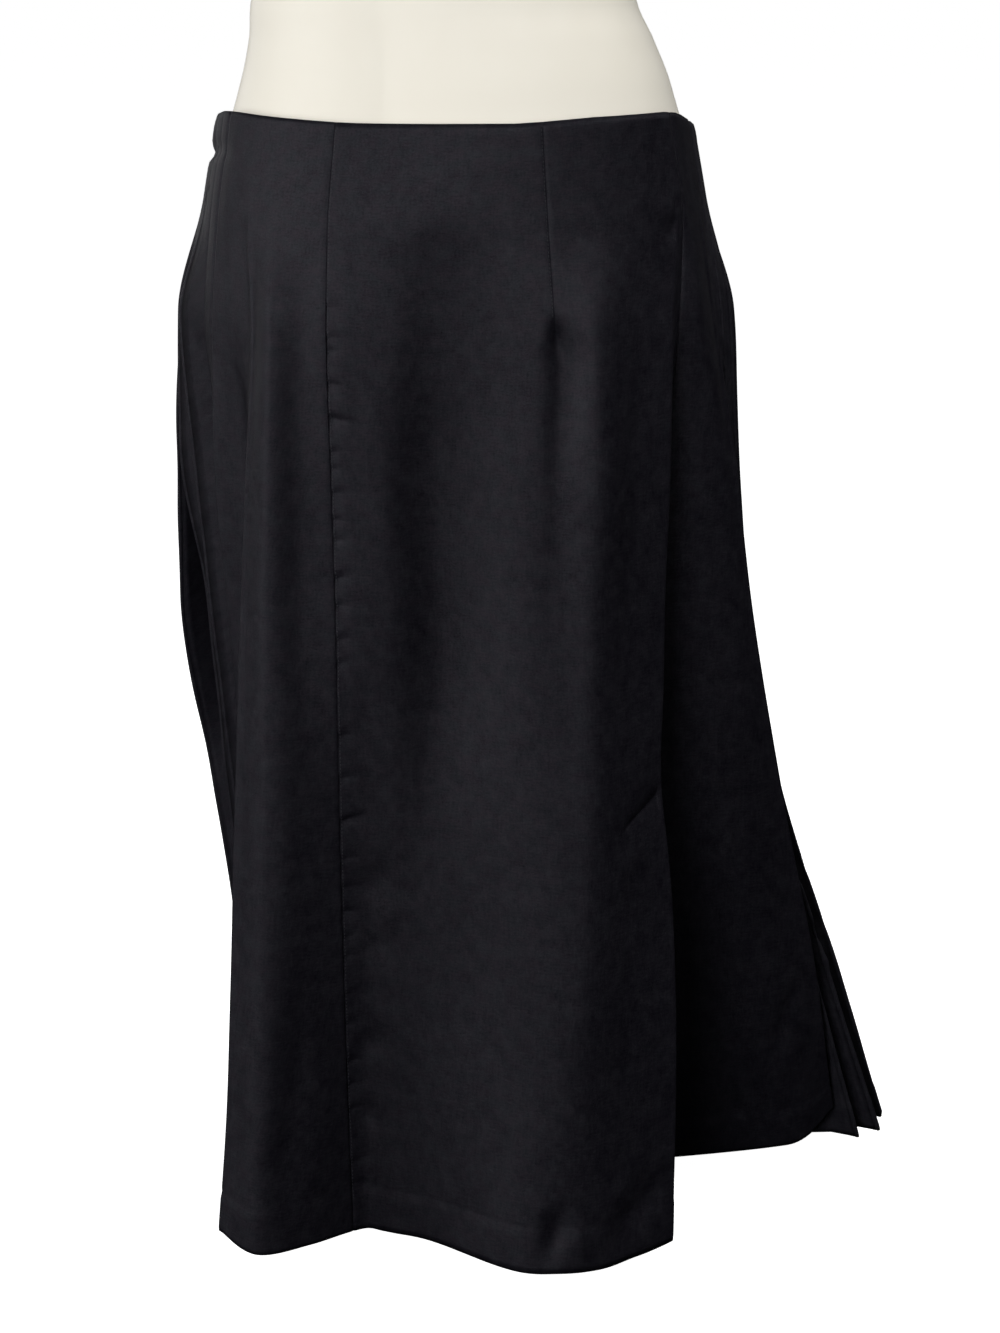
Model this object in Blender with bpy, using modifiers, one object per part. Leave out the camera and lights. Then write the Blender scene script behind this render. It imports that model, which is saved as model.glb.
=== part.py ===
"""Pleated midi skirt hanging on a smooth limbless dress form.

Metres, +Z up. The front of the skirt faces -Y. The origin is the middle of the underside of the
form's round foot. Heights on the skirt are given as a drop below its waist edge.

The skirt is one closed loop of cloth at every height. The loop runs through fold lines, and each
fold line is a row of the table below: where it crosses the waist ring and the hip ring, and its
place in plan at six lower drops. The pieces of the skirt are stretches of this loop.
"""
import math
from collections import namedtuple

import bmesh
import bpy
from mathutils import Vector

# Driving sizes
HEM_HEIGHT = 0.015          # lowest point of the hem above the floor
SKIRT_LENGTH = 0.675        # waist edge to hem
CLOTH = 0.0012              # thickness of the cloth wall
SEAM_GAP = 0.0003           # two pieces at a seam
WAIST_Z = HEM_HEIGHT + SKIRT_LENGTH

# The two rings that the skirt is fitted to, as half widths and half depths
WAIST_RING = (0.1447, 0.1020)
HIP_RING = (0.1547, 0.1120)
HIP_RING_DROP = 0.06

# Drops at which the fold lines below give their places
DROPS = (0.12, 0.20, 0.30, 0.43, 0.56, 0.675)

# kind "fold" is a pressed edge, "soft" is a rounded drape
# around: degrees round the rings from the front centre, positive towards +X
# dip: how far the waist edge falls there; lift: how far the hem rises there
FoldLine = namedtuple("FoldLine", "name kind around x y dip lift")

FRONT_LINES = (
    FoldLine("left_seam", "fold", -65.0,
             (-0.144, -0.145, -0.138, -0.130, -0.122, -0.114),
             (-0.056, -0.058, -0.058, -0.055, -0.052, -0.050), -0.0038, 0.0),
    FoldLine("left_hollow", "soft", -60.0,
             (-0.132, -0.122, -0.119, -0.118, -0.115, -0.112),
             (-0.069, -0.073, -0.074, -0.076, -0.080, -0.085), -0.0036, 0.0),
    FoldLine("left_ridge", "fold", -51.0,
             (-0.118, -0.122, -0.127, -0.1325, -0.137, -0.144),
             (-0.085, -0.095, -0.104, -0.116, -0.128, -0.139), -0.0026, 0.009),
    FoldLine("left_lobe", "soft", -43.0,
             (-0.107, -0.108, -0.110, -0.1125, -0.115, -0.118),
             (-0.1030, -0.1125, -0.1205, -0.132, -0.1445, -0.156), -0.0018, 0.0),
    FoldLine("left_valley", "soft", -35.0,
             (-0.0905, -0.0893, -0.0895, -0.0900, -0.0895, -0.0890),
             (-0.1020, -0.1080, -0.1155, -0.1265, -0.1335, -0.1405), -0.0010, 0.0),
    FoldLine("princess_seam", "soft", -28.0,
             (-0.0738, -0.0720, -0.0698, -0.0686, -0.0665, -0.0636),
             (-0.1085, -0.1130, -0.1175, -0.1195, -0.1195, -0.1200), -0.0003, 0.0),
    FoldLine("seam_side", "soft", -22.5,
             (-0.0590, -0.0573, -0.0560, -0.0545, -0.0540, -0.0540),
             (-0.1125, -0.1160, -0.1205, -0.1170, -0.1150, -0.1155), 0.0, 0.0),
    FoldLine("trough_shoulder", "soft", -14.0,
             (-0.0340, -0.0395, -0.0350, -0.0370, -0.0380, -0.0380),
             (-0.1140, -0.1175, -0.1215, -0.1210, -0.1215, -0.1230), 0.0, 0.0),
    FoldLine("middle_trough", "soft", -6.0,
             (-0.0110, -0.0095, -0.0060, -0.0140, -0.0175, -0.0189),
             (-0.1100, -0.1055, -0.1100, -0.1245, -0.1300, -0.1318), 0.0, 0.0),
    FoldLine("middle_ridge", "soft", 14.0,
             (0.0450, 0.0470, 0.0440, 0.0500, 0.0450, 0.0400),
             (-0.1205, -0.1300, -0.1340, -0.1490, -0.1640, -0.1805), 0.0, 0.0),
    FoldLine("dart_line", "soft", 21.0,
             (0.0594, 0.0610, 0.0655, 0.0680, 0.0640, 0.0640),
             (-0.1200, -0.1290, -0.1370, -0.1530, -0.1690, -0.1825), -0.0008, 0.0),
    FoldLine("right_ridge", "soft", 34.0,
             (0.0830, 0.0855, 0.0830, 0.0840, 0.0790, 0.0880),
             (-0.1210, -0.1360, -0.1400, -0.1510, -0.1670, -0.1755), -0.0028, 0.0),
    FoldLine("right_flat", "soft", 46.5,
             (0.1095, 0.1080, 0.1050, 0.1075, 0.1075, 0.1110),
             (-0.1000, -0.1130, -0.1218, -0.1337, -0.1487, -0.1590), -0.0035, 0.0),
    FoldLine("free_edge", "fold", 58.6,
             (0.1314, 0.1288, 0.1253, 0.1302, 0.1343, 0.1330),
             (-0.078, -0.092, -0.105, -0.117, -0.131, -0.1425), -0.0040, 0.004),
)

SIDE_LINES = (
    FoldLine("deep_fold", "fold", 61.0,
             (0.132, 0.124, 0.116, 0.114, 0.115, 0.116),
             (-0.069, -0.068, -0.066, -0.050, -0.028, -0.008), -0.0036, 0.0),
    FoldLine("side_flat", "soft", 64.5,
             (0.146, 0.149, 0.152, 0.163, 0.172, 0.1757),
             (-0.055, -0.054, -0.049, -0.032, -0.011, 0.006), -0.0030, 0.0),
    FoldLine("side_turn", "soft", 68.0,
             (0.152, 0.161, 0.170, 0.190, 0.208, 0.217),
             (-0.046, -0.047, -0.042, -0.025, -0.003, 0.018), -0.0018, 0.0),
    FoldLine("side_ridge", "fold", 72.0,
             (0.1559, 0.169, 0.1822, 0.2064, 0.233, 0.248),
             (-0.036, -0.036, -0.030, -0.014, 0.006, 0.030), -0.0004, 0.022),
)

BACK_RIGHT_LINES = (
    FoldLine("first_inside", "fold", 76.0,
             (0.157, 0.164, 0.172, 0.188, 0.209, 0.224),
             (-0.026, -0.019, -0.010, 0.006, 0.022, 0.038), 0.0010, 0.0),
    FoldLine("first_pleat", "fold", 80.0,
             (0.162, 0.167, 0.177, 0.199, 0.2345, 0.2673),
             (-0.018, -0.014, -0.008, 0.008, 0.025, 0.0445), 0.0035, 0.0),
    FoldLine("second_inside", "fold", 84.0,
             (0.1635, 0.1675, 0.176, 0.197, 0.230, 0.262),
             (-0.010, -0.004, 0.004, 0.024, 0.046, 0.072), 0.0060, 0.0),
    FoldLine("second_pleat", "fold", 88.0,
             (0.168, 0.172, 0.181, 0.2045, 0.2445, 0.2819),
             (-0.003, 0.000, 0.007, 0.020, 0.036, 0.051), 0.0090, 0.0),
    FoldLine("third_inside", "fold", 92.0,
             (0.1675, 0.1715, 0.180, 0.200, 0.236, 0.275),
             (0.005, 0.011, 0.020, 0.040, 0.063, 0.088), 0.0100, 0.0),
    FoldLine("third_pleat", "fold", 96.0,
             (0.171, 0.1754, 0.1844, 0.2085, 0.2505, 0.2861),
             (0.012, 0.016, 0.026, 0.041, 0.060, 0.078), 0.0105, 0.0),
)

BACK_LEFT_LINES = (
    FoldLine("left_outer_pleat", "fold", -97.0,
             (-0.1685, -0.1745, -0.1745, -0.157, -0.141, -0.132),
             (0.016, 0.022, 0.026, 0.030, 0.032, 0.034), 0.0100, 0.0),
    FoldLine("left_outer_inside", "fold", -92.0,
             (-0.1635, -0.164, -0.160, -0.145, -0.130, -0.118),
             (0.010, 0.014, 0.018, 0.020, 0.020, 0.020), 0.0080, 0.0),
    FoldLine("left_thin_pleat", "fold", -87.0,
             (-0.1695, -0.171, -0.1565, -0.146, -0.134, -0.124),
             (0.000, 0.003, 0.004, 0.006, 0.008, 0.010), 0.0040, 0.0),
    FoldLine("left_middle_inside", "fold", -82.0,
             (-0.160, -0.152, -0.142, -0.130, -0.117, -0.106),
             (-0.012, -0.014, -0.014, -0.012, -0.010, -0.008), 0.0010, 0.0),
    FoldLine("left_middle_pleat", "fold", -77.0,
             (-0.166, -0.160, -0.151, -0.1385, -0.126, -0.117),
             (-0.025, -0.030, -0.030, -0.028, -0.024, -0.020), -0.0020, 0.0),
    FoldLine("left_inner_inside", "fold", -70.5,
             (-0.150, -0.140, -0.130, -0.118, -0.108, -0.100),
             (-0.044, -0.044, -0.043, -0.040, -0.037, -0.034), -0.0034, 0.0),
)

# The pleats between the two sides follow a rounded ring at the back, with these places per drop
BackRing = namedtuple("BackRing", "centre_x half_width back_y swing")
BACK_RING = (
    BackRing(0.0010, 0.1680, 0.1180, 0.0014),
    BackRing(0.0005, 0.1710, 0.1290, 0.0038),
    BackRing(0.0050, 0.1720, 0.1370, 0.0066),
    BackRing(0.0260, 0.1710, 0.1460, 0.0096),
    BackRing(0.0530, 0.1820, 0.1590, 0.0122),
    BackRing(0.0740, 0.1920, 0.1710, 0.0146),
)
BACK_PLEATS = 24
BACK_START = 101.0          # degrees round the ring of the first inside fold
BACK_END = 258.0            # degrees round the ring of the last inside fold
BACK_DIP = (0.004, 0.011)   # dip of the waist edge at the middle of the back and at its sides
BACK_DIP_FADE = 28.0        # degrees over which the one turns into the other

# Drops of the rows of every cloth mesh
ROWS = (0.0, 0.016, 0.036, 0.060, 0.090, 0.125, 0.165, 0.205, 0.250, 0.300, 0.350, 0.400,
        0.450, 0.505, 0.560, 0.605, 0.645, 0.675)
SOFT_STEPS = 5              # points between two fold lines where the cloth is rounded
HEM_LIFT_FROM = 0.56        # the hem's lifts fade in below this drop
WAIST_DIP_TO = 0.10         # the waist's dips fade out above this drop

# Dress form: drop, middle in x, half width and half depth
FormRing = namedtuple("FormRing", "drop middle half_width half_depth")
FORM_RINGS = (
    FormRing(-0.158, -0.0080, 0.0850, 0.0600),
    FormRing(-0.155, -0.0080, 0.0980, 0.0690),
    FormRing(-0.145, -0.0080, 0.1065, 0.0745),
    FormRing(-0.105, -0.0080, 0.1085, 0.0760),
    FormRing(-0.064, -0.0062, 0.1163, 0.0815),
    FormRing(-0.045, -0.0022, 0.1215, 0.0850),
    FormRing(-0.020, 0.0003, 0.1293, 0.0905),
    FormRing(0.000, 0.0005, 0.1352, 0.0950),
    FormRing(0.030, 0.0000, 0.1460, 0.1045),
    FormRing(0.058, 0.0000, 0.1530, 0.1100),
    FormRing(0.085, 0.0000, 0.1542, 0.1090),
    FormRing(0.120, 0.0000, 0.1530, 0.1055),
    FormRing(0.170, 0.0000, 0.1460, 0.1000),
    FormRing(0.215, 0.0000, 0.1350, 0.0930),
    FormRing(0.245, 0.0000, 0.1220, 0.0840),
    FormRing(0.262, 0.0000, 0.1020, 0.0700),
    FormRing(0.270, 0.0000, 0.0780, 0.0540),
)
FORM_SIDES = 44
FORM_BOTTOM_DROP = 0.270

POLE_RADIUS = 0.0125
POLE_SIDES = 32
FOOT_RADIUS = 0.100
FOOT_THICKNESS = 0.010
FOOT_SIDES = 64
FOOT_EDGE = 0.002
SEAT_GAP = 0.0003           # pole to form and pole to foot


def fresh_scene():
    """Empty the scene and return the collection that the parts go in."""
    for thing in list(bpy.data.objects):
        bpy.data.objects.remove(thing)
    parts = bpy.data.collections.new("pleated_midi_skirt")
    bpy.context.scene.collection.children.link(parts)
    return parts


def finish(name, colour, roughness, metallic=0.0):
    """A plain Principled material."""
    material = bpy.data.materials.new(name)
    material.use_nodes = True
    shader = material.node_tree.nodes["Principled BSDF"]
    shader.inputs["Base Color"].default_value = (*colour, 1.0)
    shader.inputs["Roughness"].default_value = roughness
    shader.inputs["Metallic"].default_value = metallic
    return material


def smooth_row(places, values, at):
    """Monotone cubic value at one place between given places."""
    steps = [b - a for a, b in zip(places, places[1:])]
    rises = [(b - a) / h for a, b, h in zip(values, values[1:], steps)]
    slopes = [rises[0]]
    for before, after in zip(rises, rises[1:]):
        same_way = before * after > 0.0
        slopes.append(2.0 * before * after / (before + after) if same_way else 0.0)
    slopes.append(rises[-1])
    last = len(steps) - 1
    k = min(last, max(0, sum(at > place for place in places) - 1))
    h = steps[k]
    t = min(1.0, max(0.0, (at - places[k]) / h))
    rise = values[k + 1] - values[k]
    return (values[k] + h * slopes[k] * t
            + (3.0 * rise - h * (2.0 * slopes[k] + slopes[k + 1])) * t ** 2
            + (h * (slopes[k] + slopes[k + 1]) - 2.0 * rise) * t ** 3)


def on_ring(ring, degrees):
    """Point of an ellipse, degrees round from the front centre."""
    turn = math.radians(degrees)
    return ring[0] * math.sin(turn), -ring[1] * math.cos(turn)


def line_point(line, drop):
    """Plan place of a fold line at one drop."""
    waist = on_ring(WAIST_RING, line.around)
    hip = on_ring(HIP_RING, line.around)
    places = (0.0, HIP_RING_DROP) + DROPS
    x = smooth_row(places, (waist[0], hip[0]) + tuple(line.x), drop)
    y = smooth_row(places, (waist[1], hip[1]) + tuple(line.y), drop)
    return Vector((x, y))


def back_point(index, drop):
    """Plan place of one fold of the back pleats: even indices lie inside, odd ones outside."""
    across = index / (2 * BACK_PLEATS)
    degrees = BACK_START + (BACK_END - BACK_START) * across
    turn = math.radians(degrees)
    side = 1.0 if index % 2 else -1.0
    first, last = BACK_RIGHT_LINES[-1], BACK_LEFT_LINES[0]
    places = (0.0, HIP_RING_DROP) + DROPS
    waist = on_ring(WAIST_RING, degrees)
    hip = on_ring(HIP_RING, degrees)
    xs, ys = [waist[0], hip[0]], [waist[1], hip[1]]
    for ring, first_y, last_y in zip(BACK_RING, first.y, last.y):
        level = first_y + (last_y - first_y) * across
        xs.append(ring.centre_x + (ring.half_width + side * ring.swing) * math.sin(turn))
        ys.append(level - (ring.back_y - level + side * ring.swing) * math.cos(turn))
    return Vector((smooth_row(places, xs, drop), smooth_row(places, ys, drop)))


def back_dip(index):
    """Dip of the waist edge at one fold of the back pleats."""
    degrees = (BACK_END - BACK_START) * index / (2 * BACK_PLEATS)
    from_side = min(degrees, BACK_END - BACK_START - degrees)
    near_side = max(0.0, 1.0 - from_side / BACK_DIP_FADE)
    return BACK_DIP[0] + (BACK_DIP[1] - BACK_DIP[0]) * near_side


def rounded(before, start, end, after, steps):
    """Points from start up to end, on a curve that heads for its two neighbours."""
    pairs = ((before, start), (start, end), (end, after))
    first, middle, last = (math.sqrt((b - a).length) for a, b in pairs)
    rise = end - start
    leave = rise + middle * ((start - before) / first - (end - before) / (first + middle))
    arrive = rise + middle * ((after - end) / last - (after - start) / (middle + last))
    points = []
    for k in range(steps):
        t = k / steps
        points.append(start + leave * t + (3.0 * rise - 2.0 * leave - arrive) * t ** 2
                      + (leave + arrive - 2.0 * rise) * t ** 3)
    return points


def stations(drop):
    """All folds of the closed loop in order: (name, kind, place, dip, lift)."""
    found = []
    for line in FRONT_LINES + SIDE_LINES + BACK_RIGHT_LINES:
        found.append((line.name, line.kind, line_point(line, drop), line.dip, line.lift))
    for index in range(2 * BACK_PLEATS + 1):
        found.append((f"back_{index}", "fold", back_point(index, drop), back_dip(index), 0.0))
    for line in BACK_LEFT_LINES:
        found.append((line.name, line.kind, line_point(line, drop), line.dip, line.lift))
    return found


def lift_between(lift, next_lift, share):
    """Hem lift part of the way between two folds, steepest close to the higher one."""
    if next_lift > lift:
        return lift + (next_lift - lift) * share ** 2
    return next_lift + (lift - next_lift) * (1.0 - share) ** 2


def loop_at(drop):
    """The closed loop of cloth at one drop: places with dip and lift, and where each fold is."""
    folds = stations(drop)
    count = len(folds)
    places, marks = [], {}
    for k, (name, kind, place, dip, lift) in enumerate(folds):
        _, next_kind, next_place, next_dip, next_lift = folds[(k + 1) % count]
        marks[name] = len(places)
        if kind == "fold" and next_kind == "fold":
            places.append((place, dip, lift))
            continue
        before = folds[k - 1][2] if kind == "soft" else 2.0 * place - next_place
        after = folds[(k + 2) % count][2] if next_kind == "soft" else 2.0 * next_place - place
        for step, point in enumerate(rounded(before, place, next_place, after, SOFT_STEPS)):
            share = step / SOFT_STEPS
            places.append((point, dip + (next_dip - dip) * share, lift_between(lift, next_lift, share)))
    return places, marks


def between(a, b, share):
    """A loop entry part of the way from one entry to the next."""
    return (a[0].lerp(b[0], share), a[1] + (b[1] - a[1]) * share, a[2] + (b[2] - a[2]) * share)


def stretch(loop, marks, start, end):
    """The entries of the loop from one place to another, each trimmed by half a seam gap.

    A place is a fold's name and the share of the way on to the next entry.
    """
    count = len(loop)
    first, last = marks[start[0]], marks[end[0]]
    if last < first:
        last += count
    entries = [between(loop[first % count], loop[(first + 1) % count], start[1])]
    entries += [loop[k % count] for k in range(first + 1, last + 1)]
    if end[1] > 0.0:
        entries.append(between(loop[last % count], loop[(last + 1) % count], end[1]))
    for a, b in ((0, 1), (-1, -2)):
        length = (entries[b][0] - entries[a][0]).length
        entries[a] = between(entries[a], entries[b], 0.5 * SEAM_GAP / length)
    return entries


def height_of(drop, dip, lift):
    """Height of a loop entry, with the waist's dip and the hem's lift."""
    near_waist = max(0.0, 1.0 - drop / WAIST_DIP_TO)
    near_hem = max(0.0, (drop - HEM_LIFT_FROM) / (SKIRT_LENGTH - HEM_LIFT_FROM))
    return WAIST_Z - drop - dip * near_waist ** 2 + lift * near_hem ** 2


def cloth_piece(name, start, end, parts, material):
    """One piece of the skirt, lofted through the rows and given the cloth's thickness."""
    rows = []
    for drop in ROWS:
        loop, marks = loop_at(drop)
        entries = stretch(loop, marks, start, end)
        rows.append([(p.x, p.y, height_of(drop, dip, lift)) for p, dip, lift in entries])
    work = bmesh.new()
    grid = [[work.verts.new(point) for point in row] for row in rows]
    for upper, lower in zip(grid, grid[1:]):
        for k in range(len(upper) - 1):
            work.faces.new((upper[k], lower[k], lower[k + 1], upper[k + 1]))
    mesh = bpy.data.meshes.new(name)
    work.to_mesh(mesh)
    work.free()
    mesh.shade_smooth()
    mesh.set_sharp_from_angle(angle=math.radians(30))
    mesh.materials.append(material)
    piece = bpy.data.objects.new(name, mesh)
    parts.objects.link(piece)
    wall = piece.modifiers.new("cloth", "SOLIDIFY")
    wall.thickness = CLOTH
    wall.offset = 0.0
    wall.use_even_offset = True
    return piece


def form_body(parts, material):
    """The closed hip form, lofted through its rings."""
    work = bmesh.new()
    grid = []
    for ring in FORM_RINGS:
        turns = [2.0 * math.pi * k / FORM_SIDES for k in range(FORM_SIDES)]
        grid.append([work.verts.new((ring.middle + ring.half_width * math.sin(turn),
                                     -ring.half_depth * math.cos(turn),
                                     WAIST_Z - ring.drop)) for turn in turns])
    for upper, lower in zip(grid, grid[1:]):
        for k in range(FORM_SIDES):
            n = (k + 1) % FORM_SIDES
            work.faces.new((upper[k], lower[k], lower[n], upper[n]))
    work.faces.new(grid[0])
    work.faces.new(reversed(grid[-1]))
    mesh = bpy.data.meshes.new("dress_form")
    work.to_mesh(mesh)
    work.free()
    mesh.shade_smooth()
    mesh.set_sharp_from_angle(angle=math.radians(50))
    mesh.materials.append(material)
    body = bpy.data.objects.new("dress_form", mesh)
    parts.objects.link(body)
    return body


def cylinder(name, radius, low, high, sides, parts, material):
    """An upright cylinder between two heights."""
    bpy.ops.mesh.primitive_cylinder_add(vertices=sides, radius=radius, depth=high - low,
                                        location=(0.0, 0.0, 0.5 * (low + high)))
    piece = bpy.context.object
    piece.name = name
    piece.data.name = name
    piece.data.materials.append(material)
    for owner in list(piece.users_collection):
        owner.objects.unlink(piece)
    parts.objects.link(piece)
    return piece


def form_stand(parts, material):
    """Pole and round foot under the form."""
    pole_top = WAIST_Z - FORM_BOTTOM_DROP - SEAT_GAP
    pole = cylinder("form_pole", POLE_RADIUS, FOOT_THICKNESS + SEAT_GAP, pole_top,
                    POLE_SIDES, parts, material)
    pole.data.shade_smooth()
    pole.data.set_sharp_from_angle(angle=math.radians(40))
    foot = cylinder("form_base", FOOT_RADIUS, 0.0, FOOT_THICKNESS, FOOT_SIDES, parts, material)
    edge = foot.modifiers.new("edge", "BEVEL")
    edge.width = FOOT_EDGE
    edge.segments = 2
    edge.limit_method = "ANGLE"


def main():
    parts = fresh_scene()
    cloth = finish("charcoal_cloth", (0.012, 0.012, 0.015), 0.55)
    ivory = finish("ivory_gloss", (0.82, 0.78, 0.68), 0.18)
    steel = finish("brushed_steel", (0.55, 0.55, 0.56), 0.35, 1.0)

    left_seam = ("left_inner_inside", 0.85)
    middle_back = (f"back_{BACK_PLEATS}", 0.5)
    cloth_piece("front_left_panel", left_seam, ("princess_seam", 0.0), parts, cloth)
    cloth_piece("front_centre_panel", ("princess_seam", 0.0), ("deep_fold", 0.6), parts, cloth)
    cloth_piece("right_side_panel", ("deep_fold", 0.6), ("side_ridge", 0.8), parts, cloth)
    cloth_piece("back_right_pleats", ("side_ridge", 0.8), middle_back, parts, cloth)
    cloth_piece("back_left_pleats", middle_back, left_seam, parts, cloth)

    form_body(parts, ivory)
    form_stand(parts, steel)


main()
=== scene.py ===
"""Looks of a pleated midi skirt that hangs on a limbless dress form.

Metres, +Z up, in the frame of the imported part. The front of the skirt faces -Y. A place on the
skirt is given in plan and by its drop, which is the height below the waist edge.

The skirt is one closed loop of cloth at every drop, drawn through fold lines. SkirtPlan works the
loop out. Each ClothPanel lays a fine grid on its stretch of the loop, adds its own drapes, creases
and puckers, and gives the sheet its thickness.
"""
import logging
import math
from dataclasses import dataclass, field
from enum import Enum

import bpy
import numpy as np
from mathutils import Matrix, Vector

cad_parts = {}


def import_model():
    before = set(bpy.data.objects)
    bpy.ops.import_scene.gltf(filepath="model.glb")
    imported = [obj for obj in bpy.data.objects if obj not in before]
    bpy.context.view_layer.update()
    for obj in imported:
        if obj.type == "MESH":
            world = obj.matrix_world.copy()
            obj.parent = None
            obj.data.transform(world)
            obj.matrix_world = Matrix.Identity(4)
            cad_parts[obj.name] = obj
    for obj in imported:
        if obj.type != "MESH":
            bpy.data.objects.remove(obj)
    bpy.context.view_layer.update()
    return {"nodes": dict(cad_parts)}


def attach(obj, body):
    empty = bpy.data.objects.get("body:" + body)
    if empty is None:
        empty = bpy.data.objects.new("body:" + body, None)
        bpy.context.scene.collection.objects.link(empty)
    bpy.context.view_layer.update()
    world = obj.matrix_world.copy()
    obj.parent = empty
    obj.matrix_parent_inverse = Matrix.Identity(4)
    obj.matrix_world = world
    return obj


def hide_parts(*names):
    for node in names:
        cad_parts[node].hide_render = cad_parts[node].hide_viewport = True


log = logging.getLogger("skirt")

# Driving sizes, shared with the solids
HEM_HEIGHT = 0.015
SKIRT_LENGTH = 0.675
WAIST_Z = HEM_HEIGHT + SKIRT_LENGTH
SEAM_TRIM = 0.00005          # what each piece keeps back from the seam line
WAIST_RING = (0.1447, 0.1020)    # half the width and half the depth of the waist edge
HIP_RING = (0.1547, 0.1120)  # the same for the cloth at the hip
HIP_RING_DROP = 0.06
DROPS = (0.12, 0.20, 0.30, 0.43, 0.56, 0.675)    # drops at which the tables place a fold line
HEM_LIFT_FROM = 0.56         # drop from which the hem's lift grows
WAIST_DIP_TO = 0.10          # drop at which the waist edge's dip has faded
BACK_PLEATS = 24
BACK_START = 101.0           # degrees round the rings where the back pleats start and end
BACK_END = 258.0
BACK_DIP = (0.004, 0.011)    # dip of the waist edge at the middle of the back and at its sides

# The sheet itself
SHELL = 0.0009               # thickness of the cloth
SOFT_SAMPLES = 24            # samples of a rounded stretch between two fold lines
PLEAT_TURN = (0.0010, 0.0013)    # radius of a pressed edge at the waist and at the hem
FULLNESS = 0.55              # how far a rounded turn reaches out to its fold line
HEM_TURN_UP = 0.027          # depth of the turned-up hem
BODY = "root"


class FoldKind(Enum):
    """How the cloth turns at a fold line."""

    PRESSED = "pressed"
    ROUNDED = "rounded"


class Hold(Enum):
    """How a sheet of cloth is held."""

    HUNG = "hung"
    FOLDED = "folded"


PRESSED, ROUNDED = FoldKind.PRESSED, FoldKind.ROUNDED


@dataclass(frozen=True)
class FoldLine:
    """A line down the skirt that the cloth loop runs through.

    Attributes:
        name: the line's name.
        kind: pressed edge or rounded drape.
        around: degrees round the waist and hip rings from the front centre, positive towards +X.
        x: place in x at each of DROPS.
        y: place in y at each of DROPS.
        dip: how far the waist edge falls there.
        lift: how far the hem rises there.
        turn: radius of a pressed edge at the waist and at the hem.
        nip: drop, spread and shift in x of a place where the line is pulled sideways.
    """

    name: str
    kind: FoldKind
    around: float
    x: tuple[float, ...]
    y: tuple[float, ...]
    dip: float
    lift: float
    turn: tuple[float, float] = PLEAT_TURN
    nip: tuple[float, float, float] = (0.0, 1.0, 0.0)


@dataclass(frozen=True)
class BackRing:
    """Ring that the back pleats follow at one of DROPS.

    Attributes:
        centre_x: its middle in x.
        half_width: half its width.
        back_y: how far it reaches backwards.
        swing: how far a fold swings out from it or in from it.
    """

    centre_x: float
    half_width: float
    back_y: float
    swing: float


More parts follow.
